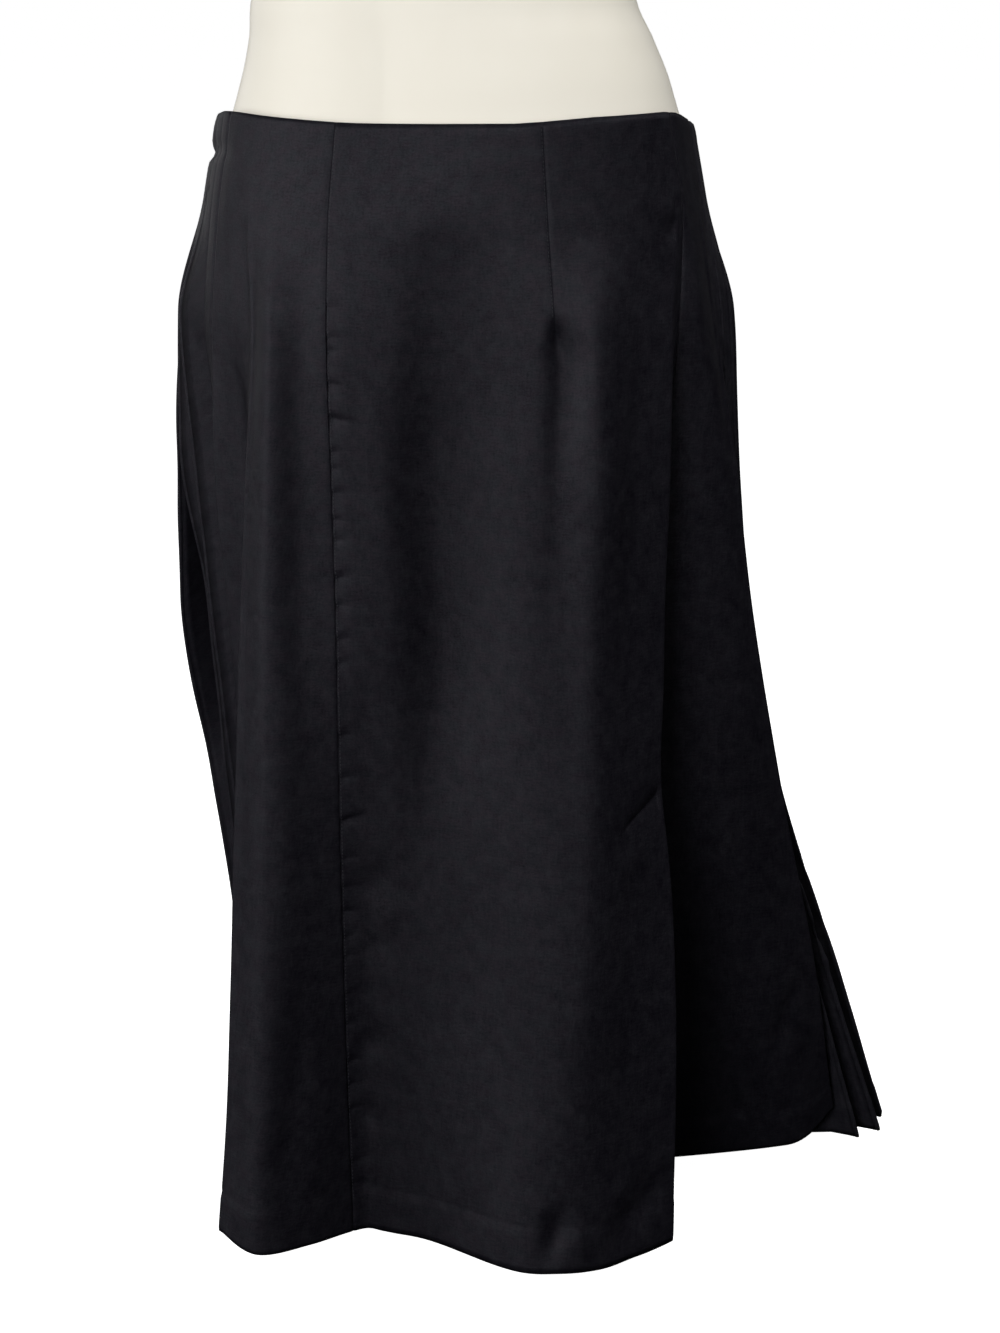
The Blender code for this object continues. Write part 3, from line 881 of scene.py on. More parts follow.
@dataclass(frozen=True)
class ClothFinish(Finish):
    """Near-black fine weave with a soft sheen, mottled by slubs in both thread directions.

    Attributes:
        dark: colour where the weave lies deep.
        middle: colour of most of it.
        light: colour where a slub stands out.
        thread_pitch: distance between two threads.
        roughness: lowest and highest roughness.
        specular: shine between the threads and on top of a slub.
        plum: tint of the shine in the warmer patches.
        slate: tint of the shine in the cooler patches.
    """

    dark: tuple[float, float, float] = (0.0030, 0.0026, 0.0045)
    middle: tuple[float, float, float] = (0.0066, 0.0062, 0.0086)
    light: tuple[float, float, float] = (0.0112, 0.0108, 0.0138)
    thread_pitch: float = 0.00055
    roughness: tuple[float, float] = (0.47, 0.60)
    specular: tuple[float, float] = (0.24, 0.66)
    plum: tuple[float, float, float] = (0.97, 0.86, 1.0)
    slate: tuple[float, float, float] = (0.86, 0.90, 1.0)

    WAVE_SCALE = 0.314                 # turns a distance into the wave texture's own scale
    WEFT_SLUBS = (170.0, 800.0, 1.0)   # grains per metre across, down and through the cloth
    WARP_SLUBS = (700.0, 130.0, 1.0)
    MOTTLE = (110.0, 90.0, 1.0)
    CLOUDS = (22.0, 16.0, 1.0)
    SPECKLE = (760.0, 1050.0, 1.0)
    PATCHES = (95.0, 150.0, 1.0)
    WEAVE_HEIGHT = 0.00022

    def _threads(self, tree: bpy.types.NodeTree, source: bpy.types.NodeSocket,
                 direction: str) -> bpy.types.NodeSocket:
        """Rows of threads that follow each other in one direction of the cloth.

        Args:
            tree: the material's tree.
            source: place on the flat cloth, in metres.
            direction: the axis that the rows follow each other along.

        Returns:
            The threads' height as a socket.
        """
        wave = tree.nodes.new("ShaderNodeTexWave")
        wave.bands_direction = direction
        wave.inputs["Scale"].default_value = self.WAVE_SCALE / self.thread_pitch
        wave.inputs["Distortion"].default_value = 1.2
        wave.inputs["Detail"].default_value = 1.0
        wave.inputs["Detail Scale"].default_value = 0.4
        tree.links.new(source, wave.inputs["Vector"])
        return wave.outputs["Fac"]

    def material(self) -> bpy.types.Material:
        """Makes the finish, laid out along the weave of each panel.

        Returns:
            The cloth's node material.
        """
        material, tree, shader = self._start()
        place = tree.nodes.new("ShaderNodeAttribute")
        place.attribute_name = "weave"
        cloth = place.outputs["Vector"]
        weft_slubs = self._noise(tree, cloth, self.WEFT_SLUBS, 3.0)
        warp_slubs = self._noise(tree, cloth, self.WARP_SLUBS, 3.0)
        slubs = self._blend(tree, weft_slubs, warp_slubs, 0.45)
        mottle = self._noise(tree, cloth, self.MOTTLE, 4.0)
        cloudy = self._noise(tree, cloth, self.CLOUDS, 2.0)
        tone = self._blend(tree, self._blend(tree, slubs, mottle, 0.40), cloudy, 0.16)
        colour = self._ramp(tree, tone, ((0.36, self.dark), (0.50, self.middle), (0.64, self.light)))
        tree.links.new(colour, shader.inputs["Base Color"])
        tree.links.new(self._range(tree, tone, *self.roughness), shader.inputs["Roughness"])
        threads = self._blend(tree, self._threads(tree, cloth, "X"),
                              self._threads(tree, cloth, "Y"), 0.5)
        relief = self._blend(tree, threads, slubs, 0.62)
        self._bump(tree, shader, relief, self.WEAVE_HEIGHT, 0.62)
        speckle = self._noise(tree, cloth, self.SPECKLE, 2.0)
        shine = self._blend(tree, self._blend(tree, speckle, slubs, 0.5), mottle, 0.22)
        tree.links.new(self._range(tree, shine, *self.specular), shader.inputs["Specular IOR Level"])
        patches = self._noise(tree, cloth, self.PATCHES, 3.0)
        tree.links.new(self._ramp(tree, patches, ((0.40, self.slate), (0.60, self.plum))),
                       shader.inputs["Specular Tint"])
        return material


@dataclass(frozen=True)
class ThreadFinish(Finish):
    """Twisted sewing thread in the colour of the cloth, a shade lighter.

    Attributes:
        dark: colour between the twists.
        light: colour on top of a twist.
    """

    dark: tuple[float, float, float] = (0.010, 0.010, 0.013)
    light: tuple[float, float, float] = (0.030, 0.030, 0.036)

    def material(self) -> bpy.types.Material:
        """Makes the finish.

        Returns:
            The thread's node material.
        """
        material, tree, shader = self._start()
        place = tree.nodes.new("ShaderNodeTexCoord")
        twist = self._noise(tree, place.outputs["Object"], (900.0, 900.0, 2600.0), 1.0)
        tree.links.new(self._ramp(tree, twist, ((0.35, self.dark), (0.65, self.light))),
                       shader.inputs["Base Color"])
        tree.links.new(self._range(tree, twist, 0.38, 0.55), shader.inputs["Roughness"])
        self._bump(tree, shader, twist, 0.0001, 0.5)
        return material


@dataclass(frozen=True)
class IvoryFinish(Finish):
    """Smooth moulded ivory with a soft gloss and a faint unevenness of colour.

    Attributes:
        shade: its darker colour.
        tint: its lighter colour.
    """

    shade: tuple[float, float, float] = (0.800, 0.760, 0.665)
    tint: tuple[float, float, float] = (0.840, 0.805, 0.715)

    def material(self) -> bpy.types.Material:
        """Makes the finish.

        Returns:
            The form's node material.
        """
        material, tree, shader = self._start()
        place = tree.nodes.new("ShaderNodeTexCoord").outputs["Object"]
        cloudy = self._noise(tree, place, (9.0, 9.0, 6.0), 3.0)
        skin = self._noise(tree, place, (420.0, 420.0, 420.0), 2.0)
        tree.links.new(self._ramp(tree, cloudy, ((0.30, self.shade), (0.70, self.tint))),
                       shader.inputs["Base Color"])
        tree.links.new(self._range(tree, cloudy, 0.34, 0.44), shader.inputs["Roughness"])
        self._bump(tree, shader, skin, 0.0002, 0.05)
        shader.inputs["Specular IOR Level"].default_value = 0.35
        return material


@dataclass(frozen=True)
class SteelFinish(Finish):
    """Brushed steel, with the brush marks along one axis.

    Attributes:
        grain: brush marks per metre along each axis.
        dark: colour in a brush mark.
        light: colour between the marks.
    """

    grain: tuple[float, float, float] = (900.0, 900.0, 12.0)
    dark: tuple[float, float, float] = (0.42, 0.42, 0.43)
    light: tuple[float, float, float] = (0.62, 0.62, 0.63)

    def material(self) -> bpy.types.Material:
        """Makes the finish.

        Returns:
            The steel's node material.
        """
        material, tree, shader = self._start()
        place = tree.nodes.new("ShaderNodeTexCoord").outputs["Object"]
        brush = self._noise(tree, place, self.grain, 3.0)
        tree.links.new(self._ramp(tree, brush, ((0.3, self.dark), (0.7, self.light))),
                       shader.inputs["Base Color"])
        tree.links.new(self._range(tree, brush, 0.24, 0.42), shader.inputs["Roughness"])
        self._bump(tree, shader, brush, 0.0001, 0.25)
        shader.inputs["Metallic"].default_value = 1.0
        return material


@dataclass(frozen=True)
class FloorFinish(Finish):
    """Plain pale floor.

    Attributes:
        colour: its colour.
        glow: its own light, which keeps it pale far from the lamps.
        cloud_shade: how dark its cloudy patches are, as a share of the colour.
    """

    colour: tuple[float, float, float] = (0.93, 0.93, 0.93)
    glow: float = 1.0
    cloud_shade: float = 0.985

    def material(self) -> bpy.types.Material:
        """Makes the finish.

        Returns:
            The floor's node material.
        """
        material, tree, shader = self._start()
        place = tree.nodes.new("ShaderNodeTexCoord").outputs["Object"]
        cloudy = self._noise(tree, place, (1.5, 1.5, 1.5), 2.0)
        low = tuple(self.cloud_shade * c for c in self.colour)
        tree.links.new(self._ramp(tree, cloudy, ((0.3, low), (0.7, self.colour))),
                       shader.inputs["Base Color"])
        shader.inputs["Roughness"].default_value = 0.9
        shader.inputs["Specular IOR Level"].default_value = 0.0
        shader.inputs["Emission Color"].default_value = (1.0, 1.0, 1.0, 1.0)
        shader.inputs["Emission Strength"].default_value = self.glow
        return material


def link_mesh(name: str, points: np.ndarray, faces: list[tuple[int, ...]],
              material: bpy.types.Material) -> bpy.types.Object:
    """A smooth mesh object in the scene.

    Args:
        name: the piece's name.
        points: places of its points.
        faces: point indices of each face.
        material: its finish.

    Returns:
        The new object.
    """
    mesh = bpy.data.meshes.new(name)
    mesh.from_pydata(points.reshape(-1, 3).tolist(), [], faces)
    mesh.update()
    mesh.shade_smooth()
    mesh.materials.append(material)
    piece = bpy.data.objects.new(name, mesh)
    bpy.context.scene.collection.objects.link(piece)
    return piece


@dataclass
class ClothPanel:
    """One piece of the skirt.

    Attributes:
        name: the node that it stands for.
        start: where it begins on the loop: a fold line and the share of the way to the next.
        end: where it ends.
        plan: the whole skirt in plan.
        hold: how the sheet is held; not used.
        column_step: usual distance between two columns of the grid.
        row_step: usual distance between two rows.
        fine_steps: closer column distance for the stretch that begins at a fold line.
        creases: drapes and creases, as listed.
        ripple: slight unevenness all over.
        crisp: fold lines whose edge is set sharp.
    """

    name: str
    start: tuple[str, float]
    end: tuple[str, float]
    plan: SkirtPlan
    hold: Hold = Hold.HUNG
    column_step: float = 0.0030
    row_step: float = 0.0026
    fine_steps: dict[str, float] = field(default_factory=dict)
    creases: tuple[Crease, ...] = ()
    ripple: Ripple = Ripple(0.00012, 3)
    crisp: tuple[str, ...] = ()
    grid: np.ndarray = field(init=False)
    normals: np.ndarray = field(init=False)
    arcs: np.ndarray = field(init=False)
    drops: np.ndarray = field(init=False)
    trace: Trace = field(init=False)

    EDGE_COLUMNS = (0.0007, 0.0015, 0.0026)    # close columns next to a side edge
    TURN_SHARES = (0.5, 1.0)                   # columns inside a rounded edge, by its room
    TURN_ROOM = 0.45                           # most of a gap that one rounded edge takes
    CRISP_COLUMNS = (0.0005, 0.0010, 0.0017)   # close columns next to a crisp edge
    TIGHT_SHARE = 0.25                         # share of the relief where the form is close
    TIGHT_TO = 0.06                            # drop from which there is more room
    TIGHT_FADE = 0.08

    # Low reliefs, each as its height and its spread
    SEAM_GROOVE = (0.00075, 0.0010)
    WAIST_ROLL = (0.00030, 0.0016)
    WAIST_FACING = (0.00020, 0.0030)
    HEM_STEP = (0.00030, 0.003)
    HEM_DIMPLES = (0.00040, 0.0016)
    HEM_ROLL = (0.00025, 0.0014)
    CRISP_EDGE = (0.0009, 0.0013)

    FACING_DEPTH = 0.0105
    DIMPLE_PITCH = 0.0085
    DIMPLE_ABOVE = 0.0006      # how far the dimples lie above the turned-up hem's edge
    CRISP_FROM = 0.045
    CRISP_FADE = 0.035
    LIP = 0.35                 # roundness of the rim, as a share of half the thickness

    def rows(self) -> np.ndarray:
        """Drops of the grid's rows, evenly spaced."""
        return np.linspace(0.0, SKIRT_LENGTH, round(SKIRT_LENGTH / self.row_step) + 1)

    def seam_offsets(self) -> tuple[tuple[float, ...], tuple[float, ...]]:
        """Closer columns next to the panel's two side edges, as distances from them."""
        return self.EDGE_COLUMNS, self.EDGE_COLUMNS

    def columns(self) -> np.ndarray:
        """Places the grid's columns, close together at seams and at pressed edges.

        Returns:
            Arc length of every grid point, by row and column.
        """
        trace = self.trace
        low, high = trace.arc[:, 0] + SEAM_TRIM, trace.arc[:, -1] - SEAM_TRIM
        near_start, near_end = self.seam_offsets()
        turns = {fold.name: room for fold, room in trace.corners()}
        knots = [(self.start[0], low, np.full(low.shape, near_start[-1]),
                  [offset / near_start[-1] for offset in near_start])]
        for fold in trace.folds:
            room = turns.get(fold.name)
            shares = self.TURN_SHARES if room is not None else ()
            if fold.name in self.crisp:
                shares = tuple(reach / float(room.mean()) for reach in self.CRISP_COLUMNS) + (1.0,)
            knots.append((fold.name, trace.arc_at(fold.name), room, shares))
        knots.append(("", high, np.full(high.shape, near_end[-1]),
                      [offset / near_end[-1] for offset in near_end]))
        places = [low]
        for (name, a, room_a, shares_a), (_, b, room_b, shares_b) in zip(knots, knots[1:]):
            gap = b - a
            most = self.TURN_ROOM * gap
            before = np.zeros_like(gap) if room_a is None else np.minimum(room_a, most)
            after = np.zeros_like(gap) if room_b is None else np.minimum(room_b, most)
            places += [a + before * share for share in shares_a]
            inner = gap - before - after
            step = self.fine_steps.get(name, self.column_step)
            count = max(2, math.ceil(float(inner.max()) / step))
            last = count if shares_b else count + 1
            places += [a + before + inner * k / count for k in range(1, last)]
            places += [b - after * share for share in reversed(shares_b)]
            if shares_b:
                places.append(b)
        return np.stack(places, axis=1)

    def measure(self) -> None:
        """Works out the plain form of the sheet: its grid of places, arcs and drops."""
        rows = self.rows()
        self.trace = Trace.along(self.plan.stations(rows), self.start, self.end)
        self.arcs = self.columns()
        place, dip, lift = self.trace.read(self.arcs)
        self.drops = np.repeat(rows[:, None], self.arcs.shape[1], axis=1)
        near_waist = np.maximum(0.0, 1.0 - self.drops / WAIST_DIP_TO)
        near_hem = np.maximum(0.0, (self.drops - HEM_LIFT_FROM) / (SKIRT_LENGTH - HEM_LIFT_FROM))
        height = WAIST_Z - self.drops - dip * near_waist ** 2 + lift * near_hem ** 2
        self.grid = np.concatenate([place, height[:, :, None]], axis=2)

    def facing(self) -> np.ndarray:
        """Works out which way the cloth faces.

        Returns:
            Outward normal at every grid point.
        """
        along = np.gradient(self.grid, axis=1)
        down = np.gradient(self.grid, axis=0)
        return unit(np.cross(down, along))

    def relief(self) -> np.ndarray:
        """Adds up the drapes, the creases and the unevenness.

        Returns:
            How far every grid point stands out from the plain form.
        """
        across = self.grid[:, :, 0]
        total = self.ripple.relief(self.arcs, self.drops)
        for crease in self.creases:
            total += crease.relief(across, self.drops)
        return total * self.clear_of_form()

    def clear_of_form(self) -> np.ndarray:
        """Share of the relief that there is room for, small where the cloth lies on the form."""
        free = smooth((self.drops - self.TIGHT_TO) / self.TIGHT_FADE)
        return self.TIGHT_SHARE + (1.0 - self.TIGHT_SHARE) * free

    def edges(self) -> np.ndarray:
        """Seams that dip a little, a softly rolled waist edge and a turned-up hem.

        Returns:
            How far every grid point stands out for them.
        """
        depth, spread = self.SEAM_GROOVE
        from_start = self.arcs - self.arcs[:, :1]
        to_end = self.arcs[:, -1:] - self.arcs
        seams = -depth * (bell(from_start, spread) + bell(to_end, spread))
        depth, spread = self.WAIST_ROLL
        height, fade = self.WAIST_FACING
        waist = (-depth * bell(self.drops, spread)
                 + height * smooth((self.FACING_DEPTH - self.drops) / fade))
        return seams + waist + self.hem() + self.crisp_edges()

    def hem(self) -> np.ndarray:
        """Turned-up hem, with the dimples that its stitches pull in and a rolled lower edge.

        Returns:
            How far every grid point stands out for it.
        """
        hem_line = SKIRT_LENGTH - HEM_TURN_UP
        height, fade = self.HEM_STEP
        turned_up = height * smooth((self.drops - hem_line) / fade)
        drift = 3.0 * np.sin(self.arcs * 60.0)
        wobble = 0.5 + 0.5 * np.sin(self.arcs * 2.0 * math.pi / self.DIMPLE_PITCH + drift)
        depth, spread = self.HEM_DIMPLES
        dimples = -depth * bell(self.drops - hem_line + self.DIMPLE_ABOVE, spread) * wobble ** 2
        depth, spread = self.HEM_ROLL
        return turned_up + dimples - depth * bell(SKIRT_LENGTH - self.drops, spread)

    def crisp_edges(self) -> np.ndarray:
        """Fine raised line along each outward edge that the iron has set.

        Returns:
            How far every grid point stands out for them.
        """
        height, spread = self.CRISP_EDGE
        total = np.zeros(self.drops.shape)
        loose = smooth((self.drops - self.CRISP_FROM) / self.CRISP_FADE)
        for fold in self.trace.folds:
            if fold.name in self.crisp:
                off = self.arcs - self.trace.arc_at(fold.name)[:, None]
                total += height * bell(off, spread) * loose
        return total

    def shape(self) -> None:
        """Works out the sheet's final middle surface and its normals."""
        self.measure()
        push = self.relief() + self.edges()
        self.grid = self.grid + self.facing() * push[:, :, None]
        self.normals = self.facing()

    def _rim(self) -> np.ndarray:
        """Follows the sheet's edge.

        Returns:
            Grid index of every point round it, in order.
        """
        rows, columns = self.drops.shape
        index = np.arange(rows * columns).reshape(rows, columns)
        return np.concatenate([index[0, :-1], index[:-1, -1], index[-1, :0:-1], index[:0:-1, 0]])

    def mesh(self, material: bpy.types.Material) -> bpy.types.Object:
        """The closed thin shell, with a rounded rim.

        Args:
            material: the cloth's finish.

        Returns:
            The panel's object.
        """
        rows, columns = self.drops.shape
        count = rows * columns
        half = 0.5 * SHELL
        outer = (self.grid + self.normals * half).reshape(-1, 3)
        inner = (self.grid - self.normals * half).reshape(-1, 3)
        rim = self._rim()
        middle = self.grid.reshape(-1, 3)
        ring = middle[rim]
        tangent = unit(np.roll(ring, -1, axis=0) - np.roll(ring, 1, axis=0))
        out = unit(np.cross(tangent, self.normals.reshape(-1, 3)[rim]))
        lip = ring + out * half * self.LIP
        points = np.concatenate([outer, inner, lip])
        index = np.arange(count).reshape(rows, columns)
        a, b = index[:-1, :-1].ravel(), index[1:, :-1].ravel()
        c, d = index[1:, 1:].ravel(), index[:-1, 1:].ravel()
        faces = np.stack([a, b, c, d], axis=1)
        back = np.stack([a, d, c, b], axis=1) + count
        around = np.arange(len(rim))
        ahead = np.roll(around, -1)
        lips = around + 2 * count
        lips_ahead = ahead + 2 * count
        front_rim = np.stack([rim, rim[ahead], lips_ahead, lips], axis=1)
        back_rim = np.stack([lips, lips_ahead, rim[ahead] + count, rim + count], axis=1)
        every = np.concatenate([faces, back, front_rim, back_rim])
        piece = link_mesh(self.name, points, [tuple(face) for face in every.tolist()], material)
        place = np.stack([self.arcs, self.drops, np.zeros_like(self.arcs)], axis=2).reshape(-1, 3)
        values = np.concatenate([place, place, place[rim]]).astype(np.float32)
        weave = piece.data.attributes.new("weave", "FLOAT_VECTOR", "POINT")
        weave.data.foreach_set("vector", values.ravel())
        return piece

    def build(self, material: bpy.types.Material) -> bpy.types.Object:
        """Args:
            material: the cloth's finish.

        Returns:
            The panel's object.
        """
        self.shape()
        piece = self.mesh(material)
        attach(piece, BODY)
        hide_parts(self.name)
        return piece

    def surface(self, arc: float, drop: float) -> tuple[Vector, Vector]:
        """A place on the outer face and the normal there.

        Args:
            arc: arc length from the panel's start.
            drop: drop below the waist edge.

        Returns:
            The place and the normal.
        """
        row = int(np.searchsorted(self.drops[:, 0], drop)) - 1
        row = min(max(row, 0), len(self.drops) - 2)
        found = []
        for values in (self.grid, self.normals):
            ends = [[np.interp(arc, self.arcs[r], values[r, :, axis]) for axis in range(3)]
                    for r in (row, row + 1)]
            span = self.drops[row + 1, 0] - self.drops[row, 0]
            share = (drop - self.drops[row, 0]) / span
            found.append(Vector(ends[0]).lerp(Vector(ends[1]), share))
        normal = found[1].normalized()
        return found[0] + normal * 0.5 * SHELL, normal


PUCKERS = (
    Pucker(0.0388, 0.0060, 0.00022, -0.10), Pucker(0.0697, 0.0075, 0.00035, -0.20),
    Pucker(0.1043, 0.0080, 0.00050, -0.10), Pucker(0.1219, 0.0070, 0.00055, -0.05),
    Pucker(0.1288, 0.0065, 0.00050, 0.05), Pucker(0.1484, 0.0080, 0.00060, 0.10),
    Pucker(0.1681, 0.0110, 0.00100, 0.15), Pucker(0.1885, 0.0070, 0.00055, -0.10),
    Pucker(0.1984, 0.0060, 0.00045, -0.15), Pucker(0.2131, 0.0080, 0.00060, -0.20),
    Pucker(0.2279, 0.0070, 0.00055, 0.05), Pucker(0.2404, 0.0075, 0.00060, -0.10),
    Pucker(0.2631, 0.0085, 0.00065, -0.25), Pucker(0.2792, 0.0070, 0.00050, -0.10),
    Pucker(0.2997, 0.0080, 0.00060, -0.20), Pucker(0.3148, 0.0070, 0.00055, -0.30),
    Pucker(0.3587, 0.0085, 0.00060, -0.25), Pucker(0.3852, 0.0090, 0.00065, -0.30),
    Pucker(0.4119, 0.0130, 0.00110, -0.35), Pucker(0.4356, 0.0100, 0.00070, -0.25),
    Pucker(0.4532, 0.0095, 0.00080, -0.15), Pucker(0.4684, 0.0100, 0.00105, -0.10),
    Pucker(0.4855, 0.0085, 0.00080, -0.35), Pucker(0.4976, 0.0080, 0.00070, -0.25),
    Pucker(0.5213, 0.0075, 0.00060, -0.20), Pucker(0.5407, 0.0085, 0.00065, -0.30),
    Pucker(0.5653, 0.0100, 0.00110, -0.25), Pucker(0.5802, 0.0080, 0.00090, -0.20),
    Pucker(0.5958, 0.0095, 0.00110, -0.15), Pucker(0.6306, 0.0090, 0.00085, -0.15),
    Pucker(0.6438, 0.0120, 0.00075, 0.10),
)


@dataclass
class FrontCentrePanel(ClothPanel):
    """Wide front piece: puckered along the princess seam, darted, and folded at its free edge.

    Attributes:
        puckers: creases that the princess seam pulls in.
        dart_end: drop at which the waist dart ends.
        notch: ends of the slanted crease at the free edge, as (x, drop), inner end first.
        notch_depth: how deep the cloth steps in at the free edge there.
    """

    puckers: tuple[Pucker, ...] = PUCKERS
    dart_end: float = 0.1154
    notch: tuple[tuple[float, float], tuple[float, float]] = ((0.0955, 0.4180), (0.1270, 0.3945))
    notch_depth: float = 0.0040

    SEAM_COLUMNS = tuple(0.0007 + 0.0013 * k for k in range(12))
    ROW_FINE = 0.00127
    ROW_COARSE = 0.0040
    FINE_SPAN = 0.0052
    DENSITY_SAMPLES = 4001
    NOTCH_ROWS = (0.401, 0.408)      # drops with close rows for the notch
    DART_STEPS = (0.0005, 0.0010, 0.0016, 0.0025, 0.0040)
    DART_GAP = 0.0004                # room that other columns leave beside the dart's own
    DART_GROOVE = (0.00055, 0.0009)  # height and spread
    DART_SIDES = (0.00022, 0.0028)
    DART_SIDES_OFF = 0.0030
    DART_DIMPLE = (0.0028, 0.0034, 0.0085)     # depth, spread across and spread down
    DART_SHOULDER = (0.0006, 0.0050, 0.0120)
    NOTCH_ABOVE = 0.0045             # spread of the notch above its line
    NOTCH_BELOW = 0.0120             # spread below it
    NOTCH_GROWN = 0.45               # share of its length over which it deepens
    NOTCH_LEAD = 0.030               # length over which the rows bend towards it
    NOTCH_TAIL = 0.020               # arc length behind the free edge over which they bend back
    NOTCH_REACH = 0.050              # drop over which the rows above and below bend with it
    RETURN_FADE = 0.003              # distance from the free edge over which the front face ends
    RETURN_SHARE = 0.15              # share of the drapes on the return behind it
    TIGHT_PUCKERS = 0.45             # share of the puckers where the form is close

    def rows(self) -> np.ndarray:
        """Places the grid's rows, closer together wherever the seam puckers the cloth.

        Returns:
            The drops of the rows.
        """
        fine = np.linspace(0.0, SKIRT_LENGTH, self.DENSITY_SAMPLES)
        density = np.full(fine.shape, 1.0 / self.ROW_COARSE)
        spots = [pucker.drop + 0.001 for pucker in self.puckers] + [self.dart_end, *self.NOTCH_ROWS]
        for spot in spots:
            close = bell(fine - spot, self.FINE_SPAN)
            density = np.maximum(density, close / self.ROW_FINE)
        total = np.concatenate([[0.0], np.cumsum(0.5 * (density[1:] + density[:-1]) * np.diff(fine))])
        count = round(total[-1])
        return np.interp(np.linspace(0.0, total[-1], count + 1), total, fine)

    def seam_offsets(self) -> tuple[tuple[float, ...], tuple[float, ...]]:
        """Close columns along the puckered seam."""
        return self.SEAM_COLUMNS, self.EDGE_COLUMNS

    def columns(self) -> np.ndarray:
        """Places the grid's columns, with close ones on both sides of the dart.

        Returns:
            Arc length of every grid point, by row and column.
        """
        places = super().columns()
        dart = self.trace.arc_at("dart_line")
        offsets = [-s for s in reversed(self.DART_STEPS)] + [0.0] + list(self.DART_STEPS)
        keep = [k for k in range(places.shape[1])
                if np.abs(places[:, k] - dart).min() > self.DART_STEPS[-1] + self.DART_GAP]
        extra = np.stack([dart + offset for offset in offsets], axis=1)
        return np.sort(np.concatenate([places[:, keep], extra], axis=1), axis=1)

    def on_front(self) -> np.ndarray:
        """1 on the front face, 0 on the return behind the free edge."""
        edge = self.trace.arc_at("free_edge")[:, None]
        return smooth((edge - self.arcs) / self.RETURN_FADE)

    def relief(self) -> np.ndarray:
        """Drapes on the front face, with the seam's puckers, the dart and the notch.

        Returns:
            How far every grid point stands out from the plain form.
        """
        shown = self.RETURN_SHARE + (1.0 - self.RETURN_SHARE) * self.on_front()
        free = smooth((self.drops - 0.05) / 0.06)
        puckered = sum(pucker.relief(self.arcs, self.drops) for pucker in self.puckers)
        puckered = puckered * (self.TIGHT_PUCKERS + (1.0 - self.TIGHT_PUCKERS) * free)
        return super().relief() * shown + puckered + self._dart() + self._notch()

    def _dart(self) -> np.ndarray:
        """Fine sewn line of the dart, the raised cloth beside it and the dimple at its end.

        Returns:
            How far every grid point stands out for it.
        """
        off = self.arcs - self.trace.arc_at("dart_line")[:, None]
        above_end = smooth((self.dart_end + 0.002 - self.drops) / 0.004)
        depth, spread = self.DART_GROOVE
        groove = -depth * bell(off, spread) * above_end
        height, spread = self.DART_SIDES
        left, right = off + self.DART_SIDES_OFF, off - self.DART_SIDES_OFF
        beside = height * (bell(left, spread) + 0.7 * bell(right, spread)) * above_end
        below = self.drops - self.dart_end - 0.004
        depth, across, down = self.DART_DIMPLE
        dimple = -depth * bell(off - 0.0006, across) * bell(below, down)
        height, across, down = self.DART_SHOULDER
        shoulder = height * bell(off + 0.0065, across) * bell(below, down)
        return groove + beside + dimple + shoulder

    def _notch(self) -> np.ndarray:
        """Slanted buckle: the cloth dips along the line, comes back fast above it and slowly below.

        Returns:
            How far every grid point stands out for it.
        """
        (x0, d0), (x1, d1) = self.notch
        length = math.hypot(x1 - x0, d1 - d0)
        ux, ud = (x1 - x0) / length, (d1 - d0) / length
        off_x, off_d = self.grid[:, :, 0] - x0, self.drops - d0
        along = (off_x * ux + off_d * ud) / length
        below = -off_x * ud + off_d * ux
        grow = smooth(along / self.NOTCH_GROWN)
        crease = np.where(below < 0.0, np.exp(np.minimum(below, 0.0) / self.NOTCH_ABOVE),
                          np.exp(-np.maximum(below, 0.0) / self.NOTCH_BELOW))
        return -self.notch_depth * grow * crease * self.on_front()

    def measure(self) -> None:
        """Works out the plain form, then bends the rows so that one follows the notch."""
        super().measure()
        (x0, d0), (x1, d1) = self.notch
        middle = 0.5 * (d0 + d1)
        rows = self.drops[:, 0]
        at_line = np.abs(rows - middle).argmin()
        nearest = rows[at_line]
        slope = (d1 - d0) / (x1 - x0)
        along = self.grid[at_line, :, 0]
        front = self.arcs[at_line] < self.trace.arc_at("free_edge")[at_line]
        target = np.clip(d0 + (along - x0) * slope, min(d0, d1), max(d0, d1)) - nearest + 0.00002
        target = target * smooth((along - x0 + self.NOTCH_LEAD) / self.NOTCH_LEAD)
        behind = np.argmax(~front)
        tail = np.exp(-(self.arcs[at_line] - self.arcs[at_line, behind]) / self.NOTCH_TAIL)
        target = np.where(front, target, target[behind - 1] * tail)
        weight = np.maximum(0.0, 1.0 - np.abs(rows - nearest) / self.NOTCH_REACH)
        wanted = rows[:, None] + weight[:, None] * target[None, :]
        for k in range(wanted.shape[1]):
            for values in (self.grid[:, :, 0], self.grid[:, :, 1], self.grid[:, :, 2], self.arcs):
                values[:, k] = np.interp(wanted[:, k], rows, values[:, k])
        self.drops = wanted


